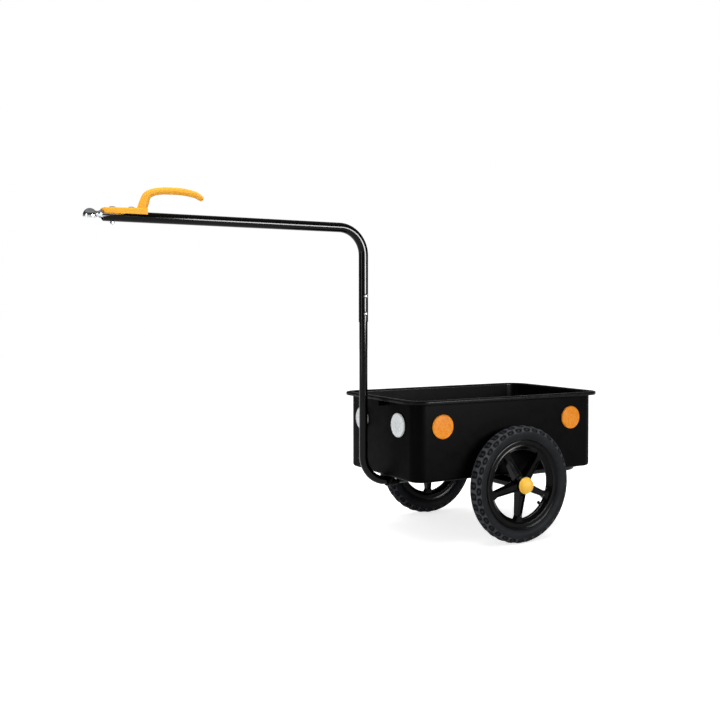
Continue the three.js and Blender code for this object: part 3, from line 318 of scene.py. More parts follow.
# Handle
SADDLE_LENGTH = 116
SADDLE_HALF_WIDTH = 17
SADDLE_FOOT_RISE = 7
SADDLE_FRONT_RISE = 20.6
SADDLE_REAR_RISE = 24.4
SADDLE_EDGE = 5.5
SADDLE_SEAT_LENGTH = 180
NOSE_SLANT = 7
NOSE_DROP = 3
NOSE_NARROWING = 2.5
BOSS_RADIUS = 9.5
BOSS_RISE = 0.8
FRONT_BOLT_X = BOOM_END - 28
REAR_SCREW_X = BOOM_END - 78
GRIP_FOOT_X = BOOM_END - 106.5
GRIP_REACH = 164
GRIP_RISE = 73.5
GRIP_HALF_WIDTH = 12
GRIP_HALF_THICKNESS = 13

# Grip from its foot on the saddle to its tip, as shares of its reach, rise, thickness and width
GRIP_SHARES = [
    (-0.01, 0.2, 1, 1),
    (0, 0.34, 1, 1),
    (0.03, 0.55, 0.95, 1),
    (0.075, 0.79, 0.83, 0.98),
    (0.175, 0.92, 0.75, 0.96),
    (0.29, 0.975, 0.73, 0.94),
    (0.415, 1, 0.74, 0.93),
    (0.652, 1, 0.73, 0.92),
    (0.86, 0.93, 0.67, 0.9),
    (0.955, 0.825, 0.59, 0.84),
    (0.988, 0.765, 0.44, 0.64),
    (1, 0.745, 0.2, 0.3),
]

# Fasteners
BOLT_RADIUS = 3
BOLT_TIP_RADIUS = 2.6
BOLT_TIP_CHAMFER = 0.5
BOLT_TAIL = 2.5
HEAD_EDGE = 0.3
HEX_SOCKET_RADIUS = 2.2
HEX_SOCKET_DEPTH = 1.6
NUT_RADIUS = 5.8
NUT_HEIGHT = 5
NUT_BORE = 3.2
NUT_CHAMFER = 0.7
HANDLE_HEAD_RADIUS = 8
HANDLE_HEAD_HEIGHT = 2.2
HANDLE_BOLT_LENGTH = 44
HANDLE_SCREW_LENGTH = 16
SLEEVE_HEAD_RADIUS = 6.4
SLEEVE_HEAD_HEIGHT = 4
SLEEVE_SEAT = UPPER_RADIUS + SEAT_GAP
SLEEVE_BOLT_LENGTH = 2 * SLEEVE_SEAT + NUT_HEIGHT + BOLT_TAIL
SLEEVE_BOLT_HEIGHTS = (SLEEVE_HEIGHT + 25, SLEEVE_HEIGHT + 77)

# Camera, as fitted to the photo
CAMERA_PLACE = (1757.65, 2438.86, 689.37)
CAMERA_PITCH = 90 - 0.967
CAMERA_HEADING = 180 - 30.465
CAMERA_LENS = 46.97
CAMERA_SHIFT = (-0.0325, -0.0469)
SENSOR_WIDTH = 36

# Studio: floor, light from around, and the ceiling's greys from the horizon up
FLOOR_REACH = 12
FLOOR_COLOUR = (0.8, 0.8, 0.8, 1)
FLOOR_GLOW = 0.7
WHITE = (1, 1, 1, 1)
SOFT_LIGHT = 0.62
CEILING_GREYS = [(0, 0.4), (0.05, 0.4), (0.2, 0.06), (0.45, 0.04), (0.7, 0.4), (1, 0.3)]


# Shapes


def arc(x, y, radius, start, end, steps, radius_y=None):
    """Points of an arc as (x, y) pairs, angles in degrees, both ends included."""
    radius_y = radius if radius_y is None else radius_y
    angles = [math.radians(start + (end - start) * i / steps) for i in range(steps + 1)]
    return [(x + radius * math.cos(a), y + radius_y * math.sin(a)) for a in angles]


def smooth_line(points, steps):
    """Points of a smooth curve through the given points, of any dimension, with steps between two."""
    ends = [points[0], *points, points[-1]]
    line = []
    for a, b, c, d in zip(ends, ends[1:], ends[2:], ends[3:]):
        for i in range(steps):
            t = i / steps
            weights = (
                (-t + 2 * t**2 - t**3) / 2,
                (2 - 5 * t**2 + 3 * t**3) / 2,
                (t + 4 * t**2 - 3 * t**3) / 2,
                (-(t**2) + t**3) / 2,
            )
            line.append(tuple(sum(w * p for w, p in zip(weights, four)) for four in zip(a, b, c, d)))
    return [*line, tuple(points[-1])]


def ease(value, low, high):
    """0 below low, 1 above high, and a smooth step between."""
    t = min(max((value - low) / (high - low), 0), 1)
    return t * t * (3 - 2 * t)


def skin(rows, closed=False, caps=False):
    """Skins rows of equally many points, each row a closed ring. closed joins the last row to the first."""
    count = len(rows[0])
    points = [point for row in rows for point in row]
    faces = []
    for i in range(len(rows) if closed else len(rows) - 1):
        here = i * count
        there = (i + 1) % len(rows) * count
        for j in range(count):
            k = (j + 1) % count
            faces.append((here + j, here + k, there + k, there + j))
    if caps:
        last = (len(rows) - 1) * count
        faces.append(tuple(range(count)))
        faces.append(tuple(range(last, last + count)))
    return points, faces


def hexagon(angle):
    """Radius of a hexagon whose corners lie at 1, at an angle."""
    return math.cos(math.pi / 6) / math.cos((angle + math.pi / 6) % (math.pi / 3) - math.pi / 6)


def turned(profile, sides=TURNED_SIDES, closed=False):
    """A surface of revolution about Y from (radius, height) pairs. A third number, from 0 to 1, makes a
    ring of the surface six-sided."""
    rows = []
    for radius, height, *six in profile:
        share = six[0] if six else 0
        row = []
        for i in range(sides):
            angle = math.tau * i / sides
            r = radius * (1 + share * (hexagon(angle) - 1))
            row.append((r * math.sin(angle), height, r * math.cos(angle)))
        rows.append(row)
    return skin(rows, closed=closed, caps=not closed)


def bar(radius, start, end):
    """A solid round bar along Y."""
    return turned([(AXIS, start), (radius, start), (radius, end), (AXIS, end)], TUBE_SIDES)


def pipe(bore, radius, start, end):
    """A straight tube along Y."""
    return turned([(bore, start), (radius, start), (radius, end), (bore, end)], TUBE_SIDES, closed=True)


def placed(part, matrix):
    points, faces = part
    return [tuple(matrix @ Vector(point)) for point in points], faces


def moved(part, x=0, y=0, z=0):
    return placed(part, Matrix.Translation((x, y, z)))


def upright(part):
    """Turns what stands along Y up to stand along Z."""
    return placed(part, Matrix.Rotation(math.pi / 2, 4, "X"))


def across(part):
    """Turns what stands along Y to point along X."""
    return placed(part, Matrix.Rotation(-math.pi / 2, 4, "Z"))


def heading(line, i):
    """Direction of a line of points at point i."""
    return (line[min(i + 1, len(line) - 1)] - line[max(i - 1, 0)]).normalized()


def bent_line(corners, radius):
    """Centreline through straight legs and square bends."""
    line = [Vector(corners[0])]
    steps = 20
    for before, corner, after in zip(corners, corners[1:], corners[2:]):
        corner = Vector(corner)
        back = (Vector(before) - corner).normalized()
        ahead = (Vector(after) - corner).normalized()
        centre = corner + radius * (back + ahead)
        for i in range(steps + 1):
            angle = math.pi / 2 * i / steps
            line.append(centre - radius * (math.cos(angle) * ahead + math.sin(angle) * back))
    return [*line, Vector(corners[-1])]


def tube(line, radius, wall, side):
    """A round tube along a flat centreline. side is the direction square to its plane."""
    side = Vector(side)
    angles = [math.tau * k / TUBE_SIDES for k in range(TUBE_SIDES)]
    outer = []
    inner = []
    for i, centre in enumerate(line):
        out = heading(line, i).cross(side)
        for rows, r in ((outer, radius), (inner, radius - wall)):
            rows.append([tuple(centre + r * (math.cos(a) * out + math.sin(a) * side)) for a in angles])
    return skin([*outer, *reversed(inner)], closed=True)


def slab(outline, half_width):
    """A side view of (x, z) pairs, given depth to both sides of the centreline."""
    rows = [[(x, y, z) for x, z in outline] for y in (-half_width, half_width)]
    return skin(rows, caps=True)


# Materials


class Nodes:
    """A node tree, with short calls to lay and link its nodes."""

    def __init__(self, tree):
        self.tree = tree

    def add(self, kind, settings=(), **inputs):
        """Lays a node. An input is given by its name, or by its number after an underscore."""
        node = self.tree.nodes.new(kind)
        for key, value in dict(settings).items():
            setattr(node, key, value)
        for key, value in inputs.items():
            self.feed(node, key, value)
        return node

    def feed(self, node, key, value):
        socket = node.inputs[int(key[1:]) if key[0] == "_" else key]
        if isinstance(value, bpy.types.NodeSocket):
            self.tree.links.new(value, socket)
        else:
            socket.default_value = value

    def math(self, operation, a, b=0.0):
        return self.add("ShaderNodeMath", {"operation": operation}, _0=a, _1=b).outputs[0]


class Shading(Nodes):
    """A material's nodes round its main shader."""

    def __init__(self, name):
        self.material = bpy.data.materials.new(name)
        self.material.use_nodes = True
        super().__init__(self.material.node_tree)
        self.shader = self.tree.nodes["Principled BSDF"]
        self.place = self.add("ShaderNodeTexCoord").outputs["Object"]

    def noise(self, scale, detail=3):
        return self.add("ShaderNodeTexNoise", Vector=self.place, Scale=scale, Detail=detail).outputs["Fac"]

    def spread(self, value, low, high, start=0.3, end=0.7):
        """Maps a value from start to end onto low to high."""
        return self.add("ShaderNodeMapRange", _0=value, _1=start, _2=end, _3=low, _4=high).outputs[0]

    def vector(self, operation, a, b=(0, 0, 0)):
        return self.add("ShaderNodeVectorMath", {"operation": operation}, _0=a, _1=b)

    def stored(self, name):
        """A value that the mesh stores at its points."""
        return self.add("ShaderNodeAttribute", {"attribute_name": name}).outputs["Fac"]

    def mix(self, share, a, b):
        return self.add("ShaderNodeMix", {"data_type": "RGBA"}, _0=share, _6=a, _7=b).outputs[2]

    def set(self, **inputs):
        for key, value in inputs.items():
            self.feed(self.shader, key.replace("_", " "), value)

    def bump(self, height, distance, strength=1.0):
        node = self.add("ShaderNodeBump", Height=height, Distance=distance * MM, Strength=strength)
        self.set(Normal=node.outputs["Normal"])


def tone(red, green, blue):
    """Screen levels from 0 to 255 as a linear colour."""
    def linear(level):
        share = level / 255
        return share / 12.92 if share <= 0.04045 else ((share + 0.055) / 1.055) ** 2.4
    return (linear(red), linear(green), linear(blue), 1)


def moulded(name, colour, worn, roughness, specular, grain=0.05):
    """Moulded plastic: cloudy colour, uneven gloss and a fine grain."""
    s = Shading(name)
    s.set(Base_Color=s.mix(s.spread(s.noise(9), 0, 1), colour, worn))
    s.set(Roughness=s.spread(s.noise(35), roughness - 0.05, roughness + 0.07))
    s.shader.inputs["Specular IOR Level"].default_value = specular
    s.bump(s.noise(900, 2), grain)
    return s.material


def painted(name, colour, dusty, roughness, specular):
    """Gloss paint on steel tube: a little orange peel and faint dust."""
    s = Shading(name)
    s.set(Base_Color=s.mix(s.spread(s.noise(60, 6), 0, 1, 0.45, 0.8), colour, dusty))
    s.set(Roughness=s.spread(s.noise(12, 2), roughness - 0.02, roughness + 0.05))
    s.shader.inputs["Specular IOR Level"].default_value = specular
    s.bump(s.noise(60, 1), 0.02)
    return s.material


def metal(name, colour, tarnish, roughness):
    """Plated metal with faint streaks."""
    s = Shading(name)
    s.set(Base_Color=s.mix(s.spread(s.noise(90, 5), 0, 1), colour, tarnish))
    s.set(Roughness=s.spread(s.noise(500, 4), roughness * 0.6, roughness * 1.5))
    s.shader.inputs["Metallic"].default_value = 1
    s.bump(s.noise(500, 2), 0.01)
    return s.material


def rubber(name, side_y):
    """Tyre rubber: painted shade in the grooves, dust with a painted sheen on the blocks and fine turning
    marks on the sidewall.
    """
    s = Shading(name)
    centre = (AXLE_X, side_y * MM, AXLE_HEIGHT * MM)
    from_axle = s.vector("SUBTRACT", s.place, centre).outputs[0]
    in_plane = s.vector("MULTIPLY", from_axle, (1, 0, 1)).outputs[0]
    radius = s.vector("LENGTH", in_plane).outputs["Value"]
    # Lighter grey on the tread's tops: dust, and partly a painted sheen where the tread catches light
    dust_and_sheen = s.math("MULTIPLY", s.stored("raised"), s.spread(s.noise(130, 6), 0.3, 1))
    side = s.mix(s.spread(s.noise(16, 4), 0, 1), tone(28, 29, 31), tone(38, 40, 43))
    worn = s.mix(dust_and_sheen, side, tone(71, 73, 77))
    # The tread's pockets are darkened towards near black as painted shade, by their stored depth
    s.set(Base_Color=s.mix(s.stored("cut"), worn, tone(16, 16, 17)))
    s.set(Roughness=s.spread(s.noise(70, 4), 0.5, 0.68))
    s.shader.inputs["Specular IOR Level"].default_value = 0.02
    rings = s.math("SINE", s.math("MULTIPLY", radius, 2600.0))
    marks = s.math("ADD", s.math("MULTIPLY", rings, 0.25), s.noise(1300, 3))
    s.bump(marks, 0.12, 0.7)
    return s.material


def lens(name, colour, glint_colour, deep):
    """Reflector lens: a grid of small prisms under a clear face, with painted glints on some prisms."""
    s = Shading(name)
    prisms = s.add("ShaderNodeTexVoronoi", Vector=s.place, Scale=420.0, Randomness=0.0)
    grid = prisms.outputs["Distance"]
    # Random prisms are lightened towards a pale colour as painted glints
    painted_glints = s.add("ShaderNodeSeparateColor", Color=prisms.outputs["Color"]).outputs[0]
    facets = s.mix(s.spread(grid, 0, 1, 0.15, 0.75), colour, deep)
    s.set(Base_Color=s.mix(s.math("MULTIPLY", s.spread(painted_glints, 0, 1, 0.35, 0.95), 0.55), facets, glint_colour))
    s.set(Roughness=s.spread(s.noise(220), 0.22, 0.36))
    s.shader.inputs["Specular IOR Level"].default_value = 0.05
    s.bump(grid, 0.4, 0.5)
    return s.material


LIP_BLACK = moulded("tub_lip_plastic", tone(3, 3, 3), tone(5, 5, 5), 0.3, 0.06, grain=0.005)
CAP_BLACK = moulded("cap_plastic", tone(10, 10, 11), tone(15, 15, 16), 0.4, 0.1, grain=0.03)
HUB_ORANGE = moulded("hub_cap_plastic", tone(255, 206, 84), tone(250, 178, 52), 0.4, 0.06, grain=0.02)
TUBE_RUBBER = moulded("inner_tube_rubber", tone(30, 30, 31), tone(44, 44, 46), 0.7, 0.3, grain=0.1)
TYRE_RUBBER = {
    "left": rubber("left_tyre_rubber", WHEEL_PLANE),
    "right": rubber("right_tyre_rubber", -WHEEL_PLANE),
}

# What a piece in a slot is made of, unless it names another material
FINISHES = {
    "black_plastic": moulded("tub_plastic", tone(2, 2, 2), tone(4, 4, 4), 0.42, 0.015, grain=0.02),
    "wheel_plastic": moulded("wheel_plastic", tone(3, 3, 3), tone(5, 5, 6), 0.17, 0.06, grain=0.004),
    "black_paint": painted("gloss_paint", tone(2, 2, 2), tone(6, 6, 6), 0.1, 0.11),
    "tyre_rubber": TUBE_RUBBER,
    "tube_rubber": TUBE_RUBBER,
    "orange_plastic": moulded("orange_plastic", tone(252, 181, 61), tone(250, 175, 54), 0.5, 0.04, 0.004),
    # Each lens: its own colour, the pale colour of its painted glints, and its deepest colour
    "amber_lens": lens("amber_lens", tone(255, 158, 30), tone(255, 196, 96), tone(244, 128, 16)),
    "clear_lens": lens("clear_lens", tone(226, 229, 230), tone(250, 252, 252), tone(190, 195, 198)),
    "red_lens": lens("red_lens", tone(205, 24, 22), tone(246, 96, 84), tone(140, 8, 8)),
    "chrome": metal("chrome_plate", (0.58, 0.6, 0.62, 1), (0.46, 0.48, 0.5, 1), 0.05),
    "zinc_steel": metal("zinc_plate", (0.27, 0.28, 0.29, 1), (0.18, 0.19, 0.2, 1), 0.3),
    "nylon": moulded("nylon", tone(216, 214, 206), tone(204, 201, 190), 0.55, 0.4),
}


# Pieces


def added(name, data):
    """Makes an object of the scene from its data."""
    made = bpy.data.objects.new(name, data)
    bpy.context.scene.collection.objects.link(made)
    return made


def piece(name, parts, slot, replaced=(), body="chassis", material=None, sharp=38, bevel=0.0):
    """Makes one object from parts in millimetres, which rides on a body and stands for CAD nodes. Edges
    sharper than sharp, in degrees, stay sharp, or are bevelled."""
    points = []
    faces = []
    for part_points, part_faces in parts:
        start = len(points)
        points += part_points
        faces += [[start + i for i in face] for face in part_faces]
    mesh = bpy.data.meshes.new(name)
    mesh.from_pydata([(x * MM + AXLE_X, y * MM, z * MM) for x, y, z in points], [], faces)
    shape = bmesh.new()
    shape.from_mesh(mesh)
    bmesh.ops.remove_doubles(shape, verts=shape.verts, dist=0.002 * MM)
    bmesh.ops.recalc_face_normals(shape, faces=shape.faces)
    if bevel:
        edges = [e for e in shape.edges if e.is_manifold and e.calc_face_angle(0) > math.radians(sharp)]
        bmesh.ops.bevel(shape, geom=edges, offset=bevel * MM, segments=2, profile=0.5, affect="EDGES",
                        clamp_overlap=True)
    shape.to_mesh(mesh)
    shape.free()
    mesh.shade_smooth()
    mesh.set_sharp_from_angle(angle=math.radians(sharp))
    mesh.materials.append(material or FINISHES[slot])
    made = added(name, mesh)
    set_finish(made, slot)
    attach(made, body)
    if replaced:
        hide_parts(*replaced)
    return made


def combined(base, *cutters):
    """Changes a piece's mesh by (operation, points and faces) pairs, in order. Edges over 30 degrees stay
    sharp."""
    for operation, part in cutters:
        tool = piece(base.name + "_tool", [part], base["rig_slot"], body=base["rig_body"])
        modifier = base.modifiers.new("cut", "BOOLEAN")
        modifier.operation = operation
        modifier.solver = "EXACT"
        modifier.object = tool
        bpy.context.view_layer.update()
        evaluated = base.evaluated_get(bpy.context.evaluated_depsgraph_get())
        mesh = bpy.data.meshes.new_from_object(evaluated)
        base.modifiers.clear()
        base.data = mesh
        bpy.data.objects.remove(tool)
    base.data.shade_smooth()
    base.data.set_sharp_from_angle(angle=math.radians(30))


# Tub


def rounded_rectangle(half_x, half_y, radius, z):
    x = half_x - radius
    y = half_y - radius
    points = []
    for corner_x, corner_y, start in ((x, y, 0), (-x, y, 90), (-x, -y, 180), (x, -y, 270)):
        points += arc(corner_x, corner_y, radius, start, start + 90, CORNER_STEPS)
    return [(px, py, z) for px, py in points]


def shell():
    """One moulded shell: foot, outer wall, rolled rim, inner wall and floor."""
    under_rim = TUB_HEIGHT - TUB_RIM_FLANGE
    lip_inner = TUB_RIM_OUT - TUB_LIP_THICKNESS
    lip_bottom = TUB_HEIGHT - TUB_LIP_DEPTH
    profile = [
        *arc(-TUB_FOOT, TUB_FOOT, TUB_FOOT, -90, 0, 8),
        (0, TUB_HEIGHT - TUB_RIM_DROP),
        *arc(TUB_RIM_ROLL, under_rim - TUB_RIM_ROLL, TUB_RIM_ROLL, 180, 90, 5),
        *arc(lip_inner - TUB_LIP_ROUND, under_rim - TUB_LIP_ROUND, TUB_LIP_ROUND, 90, 0, 3),
        (lip_inner, lip_bottom + FINE_ROUND),
        *arc(TUB_RIM_OUT - TUB_LIP_THICKNESS / 2, lip_bottom + TUB_LIP_ROUND, TUB_LIP_ROUND, 180, 360, 6),
        *arc(TUB_RIM_OUT - TUB_RIM_EDGE, TUB_HEIGHT - TUB_RIM_EDGE, TUB_RIM_EDGE, 0, 90, 6),
        (TUB_RIM_FLAT, TUB_HEIGHT),
        *arc(TUB_RIM_ROLL - TUB_WALL, TUB_HEIGHT - TUB_RIM_ROLL, TUB_RIM_ROLL, 90, 180, 6),
        *arc(-TUB_WALL - TUB_DRAFT - TUB_INNER_FOOT, TUB_WALL + TUB_INNER_FOOT, TUB_INNER_FOOT, 0, -90, 8),
    ]
    half = TUB_LENGTH / 2
    rings = [rounded_rectangle(half + out, TUB_SIDE + out, TUB_CORNER + out, z) for out, z in profile]
    return moved(skin(rings, caps=True), x=TUB_SHIFT, z=TUB_BOTTOM)


def pad():
    """Block under the middle of the front rim."""
    middle = PAD_HALF_WIDTH - PAD_EDGE
    foot = TUB_HEIGHT - PAD_HEIGHT + PAD_EDGE
    top = TUB_HEIGHT - TUB_RIM_EDGE
    outline = [
        *arc(-middle, foot, PAD_EDGE, 180, 270, 4),
        *arc(middle, foot, PAD_EDGE, 270, 360, 4),
        (PAD_HALF_WIDTH, top),
        (-PAD_HALF_WIDTH, top),
    ]
    ends = (TUB_FRONT - TUB_WALL / 2, TUB_FRONT + TUB_RIM_OUT - 2 * SEAT_GAP)
    return skin([[(x, y, z + TUB_BOTTOM) for y, z in outline] for x in ends], caps=True)


def tub():
    """Shell and pad in one piece, whose rim is glossier."""
    made = piece("tub_shell", [shell(), pad()], "black_plastic", ["tub"], sharp=50)
    made.data.materials.append(LIP_BLACK)
    lip_bottom = (TUB_BOTTOM + TUB_HEIGHT - TUB_LIP_DEPTH) * MM
    for face in made.data.polygons:
        face.material_index = int(face.center.z > lip_bottom)


def reflector(name, slot, x, y, turn):
    """Disc with a raised rim round a slightly crowned lens."""
    back = EDGE_ROUND
    crown = []
    steps = 6
    for k in range(steps):
        rise = LENS_RISE * math.sin(math.pi / 2 * k / steps)
        crown.append((LENS_RADIUS * (1 - k / steps), LENS_EDGE_HEIGHT + rise))
    profile = [
        (AXIS, 0),
        *arc(REFLECTOR_RADIUS - back, back, back, -90, 0, 3),
        *arc(REFLECTOR_RADIUS - RING_ROUND, RING_FOOT_HEIGHT - RING_ROUND, RING_ROUND, 0, 80, 4),
        *arc(REFLECTOR_RADIUS - RING_INSET, RING_HEIGHT - back, back, 60, 170, 5),
        (LENS_RADIUS + SEAT_GAP, LENS_EDGE_HEIGHT),
        *crown,
        (AXIS, LENS_EDGE_HEIGHT + LENS_RISE),
    ]
    matrix = Matrix.Translation((x, y, REFLECTOR_HEIGHT)) @ Matrix.Rotation(turn, 4, "Z")
    node = f"reflector_{name}"
    disc = placed(turned(profile, FINE_SIDES), matrix)
    piece(node + "_lens", [disc], slot, [node], sharp=25)


def reflectors():
    side = TUB_SIDE + SEAT_GAP
    quarter = math.pi / 2
    for end, slot, x, turn in (
        ("front", "clear_lens", TUB_FRONT + SEAT_GAP, -quarter),
        ("rear", "red_lens", TUB_REAR - SEAT_GAP, quarter),
    ):
        reflector(end + "_left", slot, x, END_REFLECTOR_Y, turn)
        reflector(end + "_right", slot, x, -END_REFLECTOR_Y, turn)
    for place, x in SIDE_REFLECTOR_X.items():
        reflector(f"left_{place}", "amber_lens", x, side, 0)
        reflector(f"right_{place}", "amber_lens", x, -side, math.pi)


# Frame


def weld(centre, direction, radius):
    """A ripple-edged weld bead round a tube's end."""
    rows = []
    steps = 4 * WELD_RIPPLES
    for i in range(steps):
        angle = math.tau * i / steps
        swell = WELD_RADIUS + WELD_RIPPLE * math.sin(WELD_RIPPLES * angle)
        section = arc(radius, 0, swell, 0, 360, 8)[:-1]
        rows.append([(r * math.sin(angle), h, r * math.cos(angle)) for r, h in section])
    turn = Vector((0, 1, 0)).rotation_difference(Vector(direction)).to_matrix().to_4x4()
    return placed(skin(rows, closed=True), Matrix.Translation(centre) @ turn)


def frame_piece(name, parts, node, bevel=0.0):
    return piece(name, parts, "black_paint", [node], bevel=bevel)


def axle_beam():
    beam = pipe(BEAM_RADIUS - BEAM_WALL, BEAM_RADIUS, -BEAM_END, BEAM_END)
    frame_piece("axle_tube", [moved(beam, z=AXLE_HEIGHT)], "axle_beam", bevel=0.4)


def rear_loop():
    """Bent tube under the tub's rear half, welded to the axle beam at both ends."""
    side = LOOP_SIDE
    corners = [(LOOP_FRONT, side), (LOOP_REAR, side), (LOOP_REAR, -side), (LOOP_FRONT, -side)]
    line = bent_line([(x, y, LOOP_HEIGHT) for x, y in corners], LOOP_BEND_RADIUS)
    parts = [tube(line, LOOP_RADIUS, LOOP_WALL, (0, 0, 1))]
    for y in (side, -side):
        centre = (LOOP_FRONT - WELD_SINK, y, LOOP_HEIGHT - LOOP_WELD_DROP)
        parts.append(weld(centre, (-1, 0, 0.3), LOOP_RADIUS - EDGE_ROUND))
    frame_piece("loop_tube", parts, "rear_loop")


def drawbar_receiver():
    """Tube that takes the drawbar's foot, welded to the axle beam."""
    sleeve = pipe(RECEIVER_BORE, RECEIVER_BORE + RECEIVER_WALL, RECEIVER_START, RECEIVER_END)
    bead = weld((BEAM_RADIUS - WELD_SINK, 0, LEG_HEIGHT), (1, 0, 0), RECEIVER_BORE + RECEIVER_WALL / 2)
    frame_piece("receiver_tube", [moved(across(sleeve), z=LEG_HEIGHT), bead], "drawbar_receiver")


def notch(gap):
    """Side view of the slanted notch in the boom's end, drawn in by a gap for what lies in it."""
    front = BOOM_END + OVERCUT
    top = BOOM_TOP + OVERCUT
    seat = BOOM_HEIGHT + NOTCH_REAR_RISE + gap
    slope = (NOTCH_FRONT_DROP + NOTCH_REAR_RISE) / NOTCH_LENGTH
    return [
        (NOTCH_REAR + gap, seat),
        (front, seat - slope * (front - NOTCH_REAR)),
        (front, top),
        (NOTCH_REAR + gap, top),
    ]


def drawbar():
    """Lower tube up to the sleeve joint, and the upper tube whose boom's end is slanted and notched."""
    lower = bent_line([
        (LEG_START, 0, LEG_HEIGHT),
        (POST_X, 0, LEG_HEIGHT),
        (POST_X, 0, SLEEVE_HEIGHT + SLEEVE_OVERLAP),
    ], BEND_RADIUS)
    upper = bent_line([
        (POST_X, 0, SLEEVE_HEIGHT),
        (POST_X, 0, BOOM_HEIGHT),
        (BOOM_END, 0, BOOM_HEIGHT),
    ], BEND_RADIUS)
    frame_piece("lower_tube", [tube(lower, LOWER_RADIUS, LOWER_WALL, (0, 1, 0))], "drawbar_lower")
    boom = frame_piece("upper_tube", [tube(upper, UPPER_RADIUS, UPPER_WALL, (0, 1, 0))], "drawbar_upper")
    slant = [
        (BOOM_END - BOOM_END_SLANT, BOOM_BOTTOM - OVERCUT),
        (BOOM_END + OVERCUT, BOOM_BOTTOM - OVERCUT),
        (BOOM_END + OVERCUT, BOOM_HEIGHT),
        (BOOM_END, BOOM_HEIGHT),
        (BOOM_END - BOOM_END_SLANT, BOOM_BOTTOM),
    ]
    combined(
        boom,
        ("DIFFERENCE", slab(notch(0), CUT_HALF_WIDTH)),
        ("DIFFERENCE", slab(slant, CUT_HALF_WIDTH)),
    )


# Coupler and handle


def cup():
    """Round cup over the ball, domed on top."""
    profile = [
        (AXIS, CUP_MOUTH),
        *arc(CUP_RADIUS - EDGE_ROUND, CUP_MOUTH + EDGE_ROUND, EDGE_ROUND, -90, 0, 3),
        *arc(0, CUP_MOUTH + CUP_SKIRT, CUP_RADIUS, 0, 89.9, 20, CUP_HEIGHT - CUP_SKIRT),
    ]
    return moved(upright(turned(profile, FINE_SIDES)), x=CUP_X)


def ball_socket():
    """Room for the ball, with a flared mouth."""
    profile = [
        (AXIS, CUP_MOUTH - OVERCUT),
        (SOCKET_RADIUS + SOCKET_FLARE + OVERCUT, CUP_MOUTH - OVERCUT),
        (SOCKET_RADIUS, CUP_MOUTH + SOCKET_FLARE),
        *arc(0, CUP_MOUTH + SOCKET_RISE, SOCKET_RADIUS, 0, 89.9, 14),
    ]
    return moved(upright(turned(profile, FINE_SIDES)), x=CUP_X)


def neck():
    """Ovals from the collar in the boom's end to the cup: half width, bottom and top at each x."""
    low = CUP_MOUTH + 2 * SEAT_GAP
    ovals = smooth_line([
        (BOOM_END - 3, UPPER_RADIUS - SEAT_GAP, low, BOOM_TOP - SEAT_GAP),
        (BOOM_END + 1, 11.6, low, BOOM_HEIGHT + 15),
        (BOOM_END + 5, 8.4, BOOM_HEIGHT - 3.6, BOOM_HEIGHT + 12.4),
        (BOOM_END + 10, 7.4, BOOM_HEIGHT - 2.8, BOOM_HEIGHT + 11.4),
        (BOOM_END + 16, 7.6, BOOM_HEIGHT - 2.8, BOOM_HEIGHT + 11.6),
        (BOOM_END + 23, 9, BOOM_HEIGHT - 3, BOOM_HEIGHT + 12.2),
    ], 4)
    rows = []
    for x, half_width, bottom, top in ovals:
        section = arc(0, (bottom + top) / 2, half_width, 0, 360, TUBE_SIDES, (top - bottom) / 2)[:-1]
        rows.append([(x, y, z) for y, z in section])
    return skin(rows, caps=True)


def coupler():
    """Cup and neck with the latch's slot, and the half-round shank that fills the boom's notch."""
    slot = slab([
        (SLOT_REAR, CUP_MOUTH - OVERCUT),
        (SLOT_FRONT, CUP_MOUTH - OVERCUT),
        (SLOT_FRONT, SLOT_TOP),
        (SLOT_REAR, SLOT_TOP),
    ], SLOT_HALF_WIDTH)
    body = piece("ball_coupler", [cup()], "chrome", ["coupler"], sharp=30)
    combined(body, ("UNION", neck()), ("DIFFERENCE", ball_socket()), ("DIFFERENCE", slot))
    rod = moved(across(bar(SHANK_RADIUS, NOTCH_REAR, BOOM_END)), z=BOOM_HEIGHT)
    shank = piece("coupler_shank", [rod], "chrome", sharp=30)
    combined(shank, ("INTERSECT", slab(notch(SEAT_GAP), CUT_HALF_WIDTH)), ("DIFFERENCE", slot))


def latch_spring():
    """The coil over the latch's arm, built at its full height. The latch presses it against the slot's
    ceiling as it opens, down to 0.64 of its height."""
    steps = SPRING_CURLS * STEPS_PER_CURL
    low = SPRING_FOOT + SPRING_WIRE
    high = SPRING_TOP - SPRING_WIRE
    rows = []
    for i in range(steps + 1):
        turn = math.tau * i / STEPS_PER_CURL
        section = arc(SPRING_RADIUS, low + (high - low) * i / steps, SPRING_WIRE, 0, 360, 10)[:-1]
        rows.append([(SPRING_X + r * math.cos(turn), r * math.sin(turn), z) for r, z in section])
    coil = piece("latch_coil", [skin(rows, caps=True)], "zinc_steel", ["latch_spring"], sharp=60)
    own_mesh(coil)


def grip():
    """Ovals along a smooth line from the saddle to the tip."""
    shares = smooth_line(GRIP_SHARES, 7)
    side = Vector((0, 1, 0))
    line = []
    for back, up, _, _ in shares:
        line.append(Vector((GRIP_FOOT_X - GRIP_REACH * back, 0, BOOM_HEIGHT + GRIP_RISE * up)))
    rows = []
    for i, (_, _, thick, wide) in enumerate(shares):
        out = heading(line, i).cross(side)
        section = arc(0, 0, GRIP_HALF_WIDTH * wide, 0, 360, 36, GRIP_HALF_THICKNESS * thick)[:-1]
        rows.append([tuple(line[i] + y * side + off * out) for y, off in section])
    return skin(rows, caps=True)


def saddle_top(x):
    """Height of the saddle's top, which rises towards the rear."""
    back = (BOOM_END - x) / SADDLE_LENGTH
    return BOOM_HEIGHT + SADDLE_FRONT_RISE + (SADDLE_REAR_RISE - SADDLE_FRONT_RISE) * back


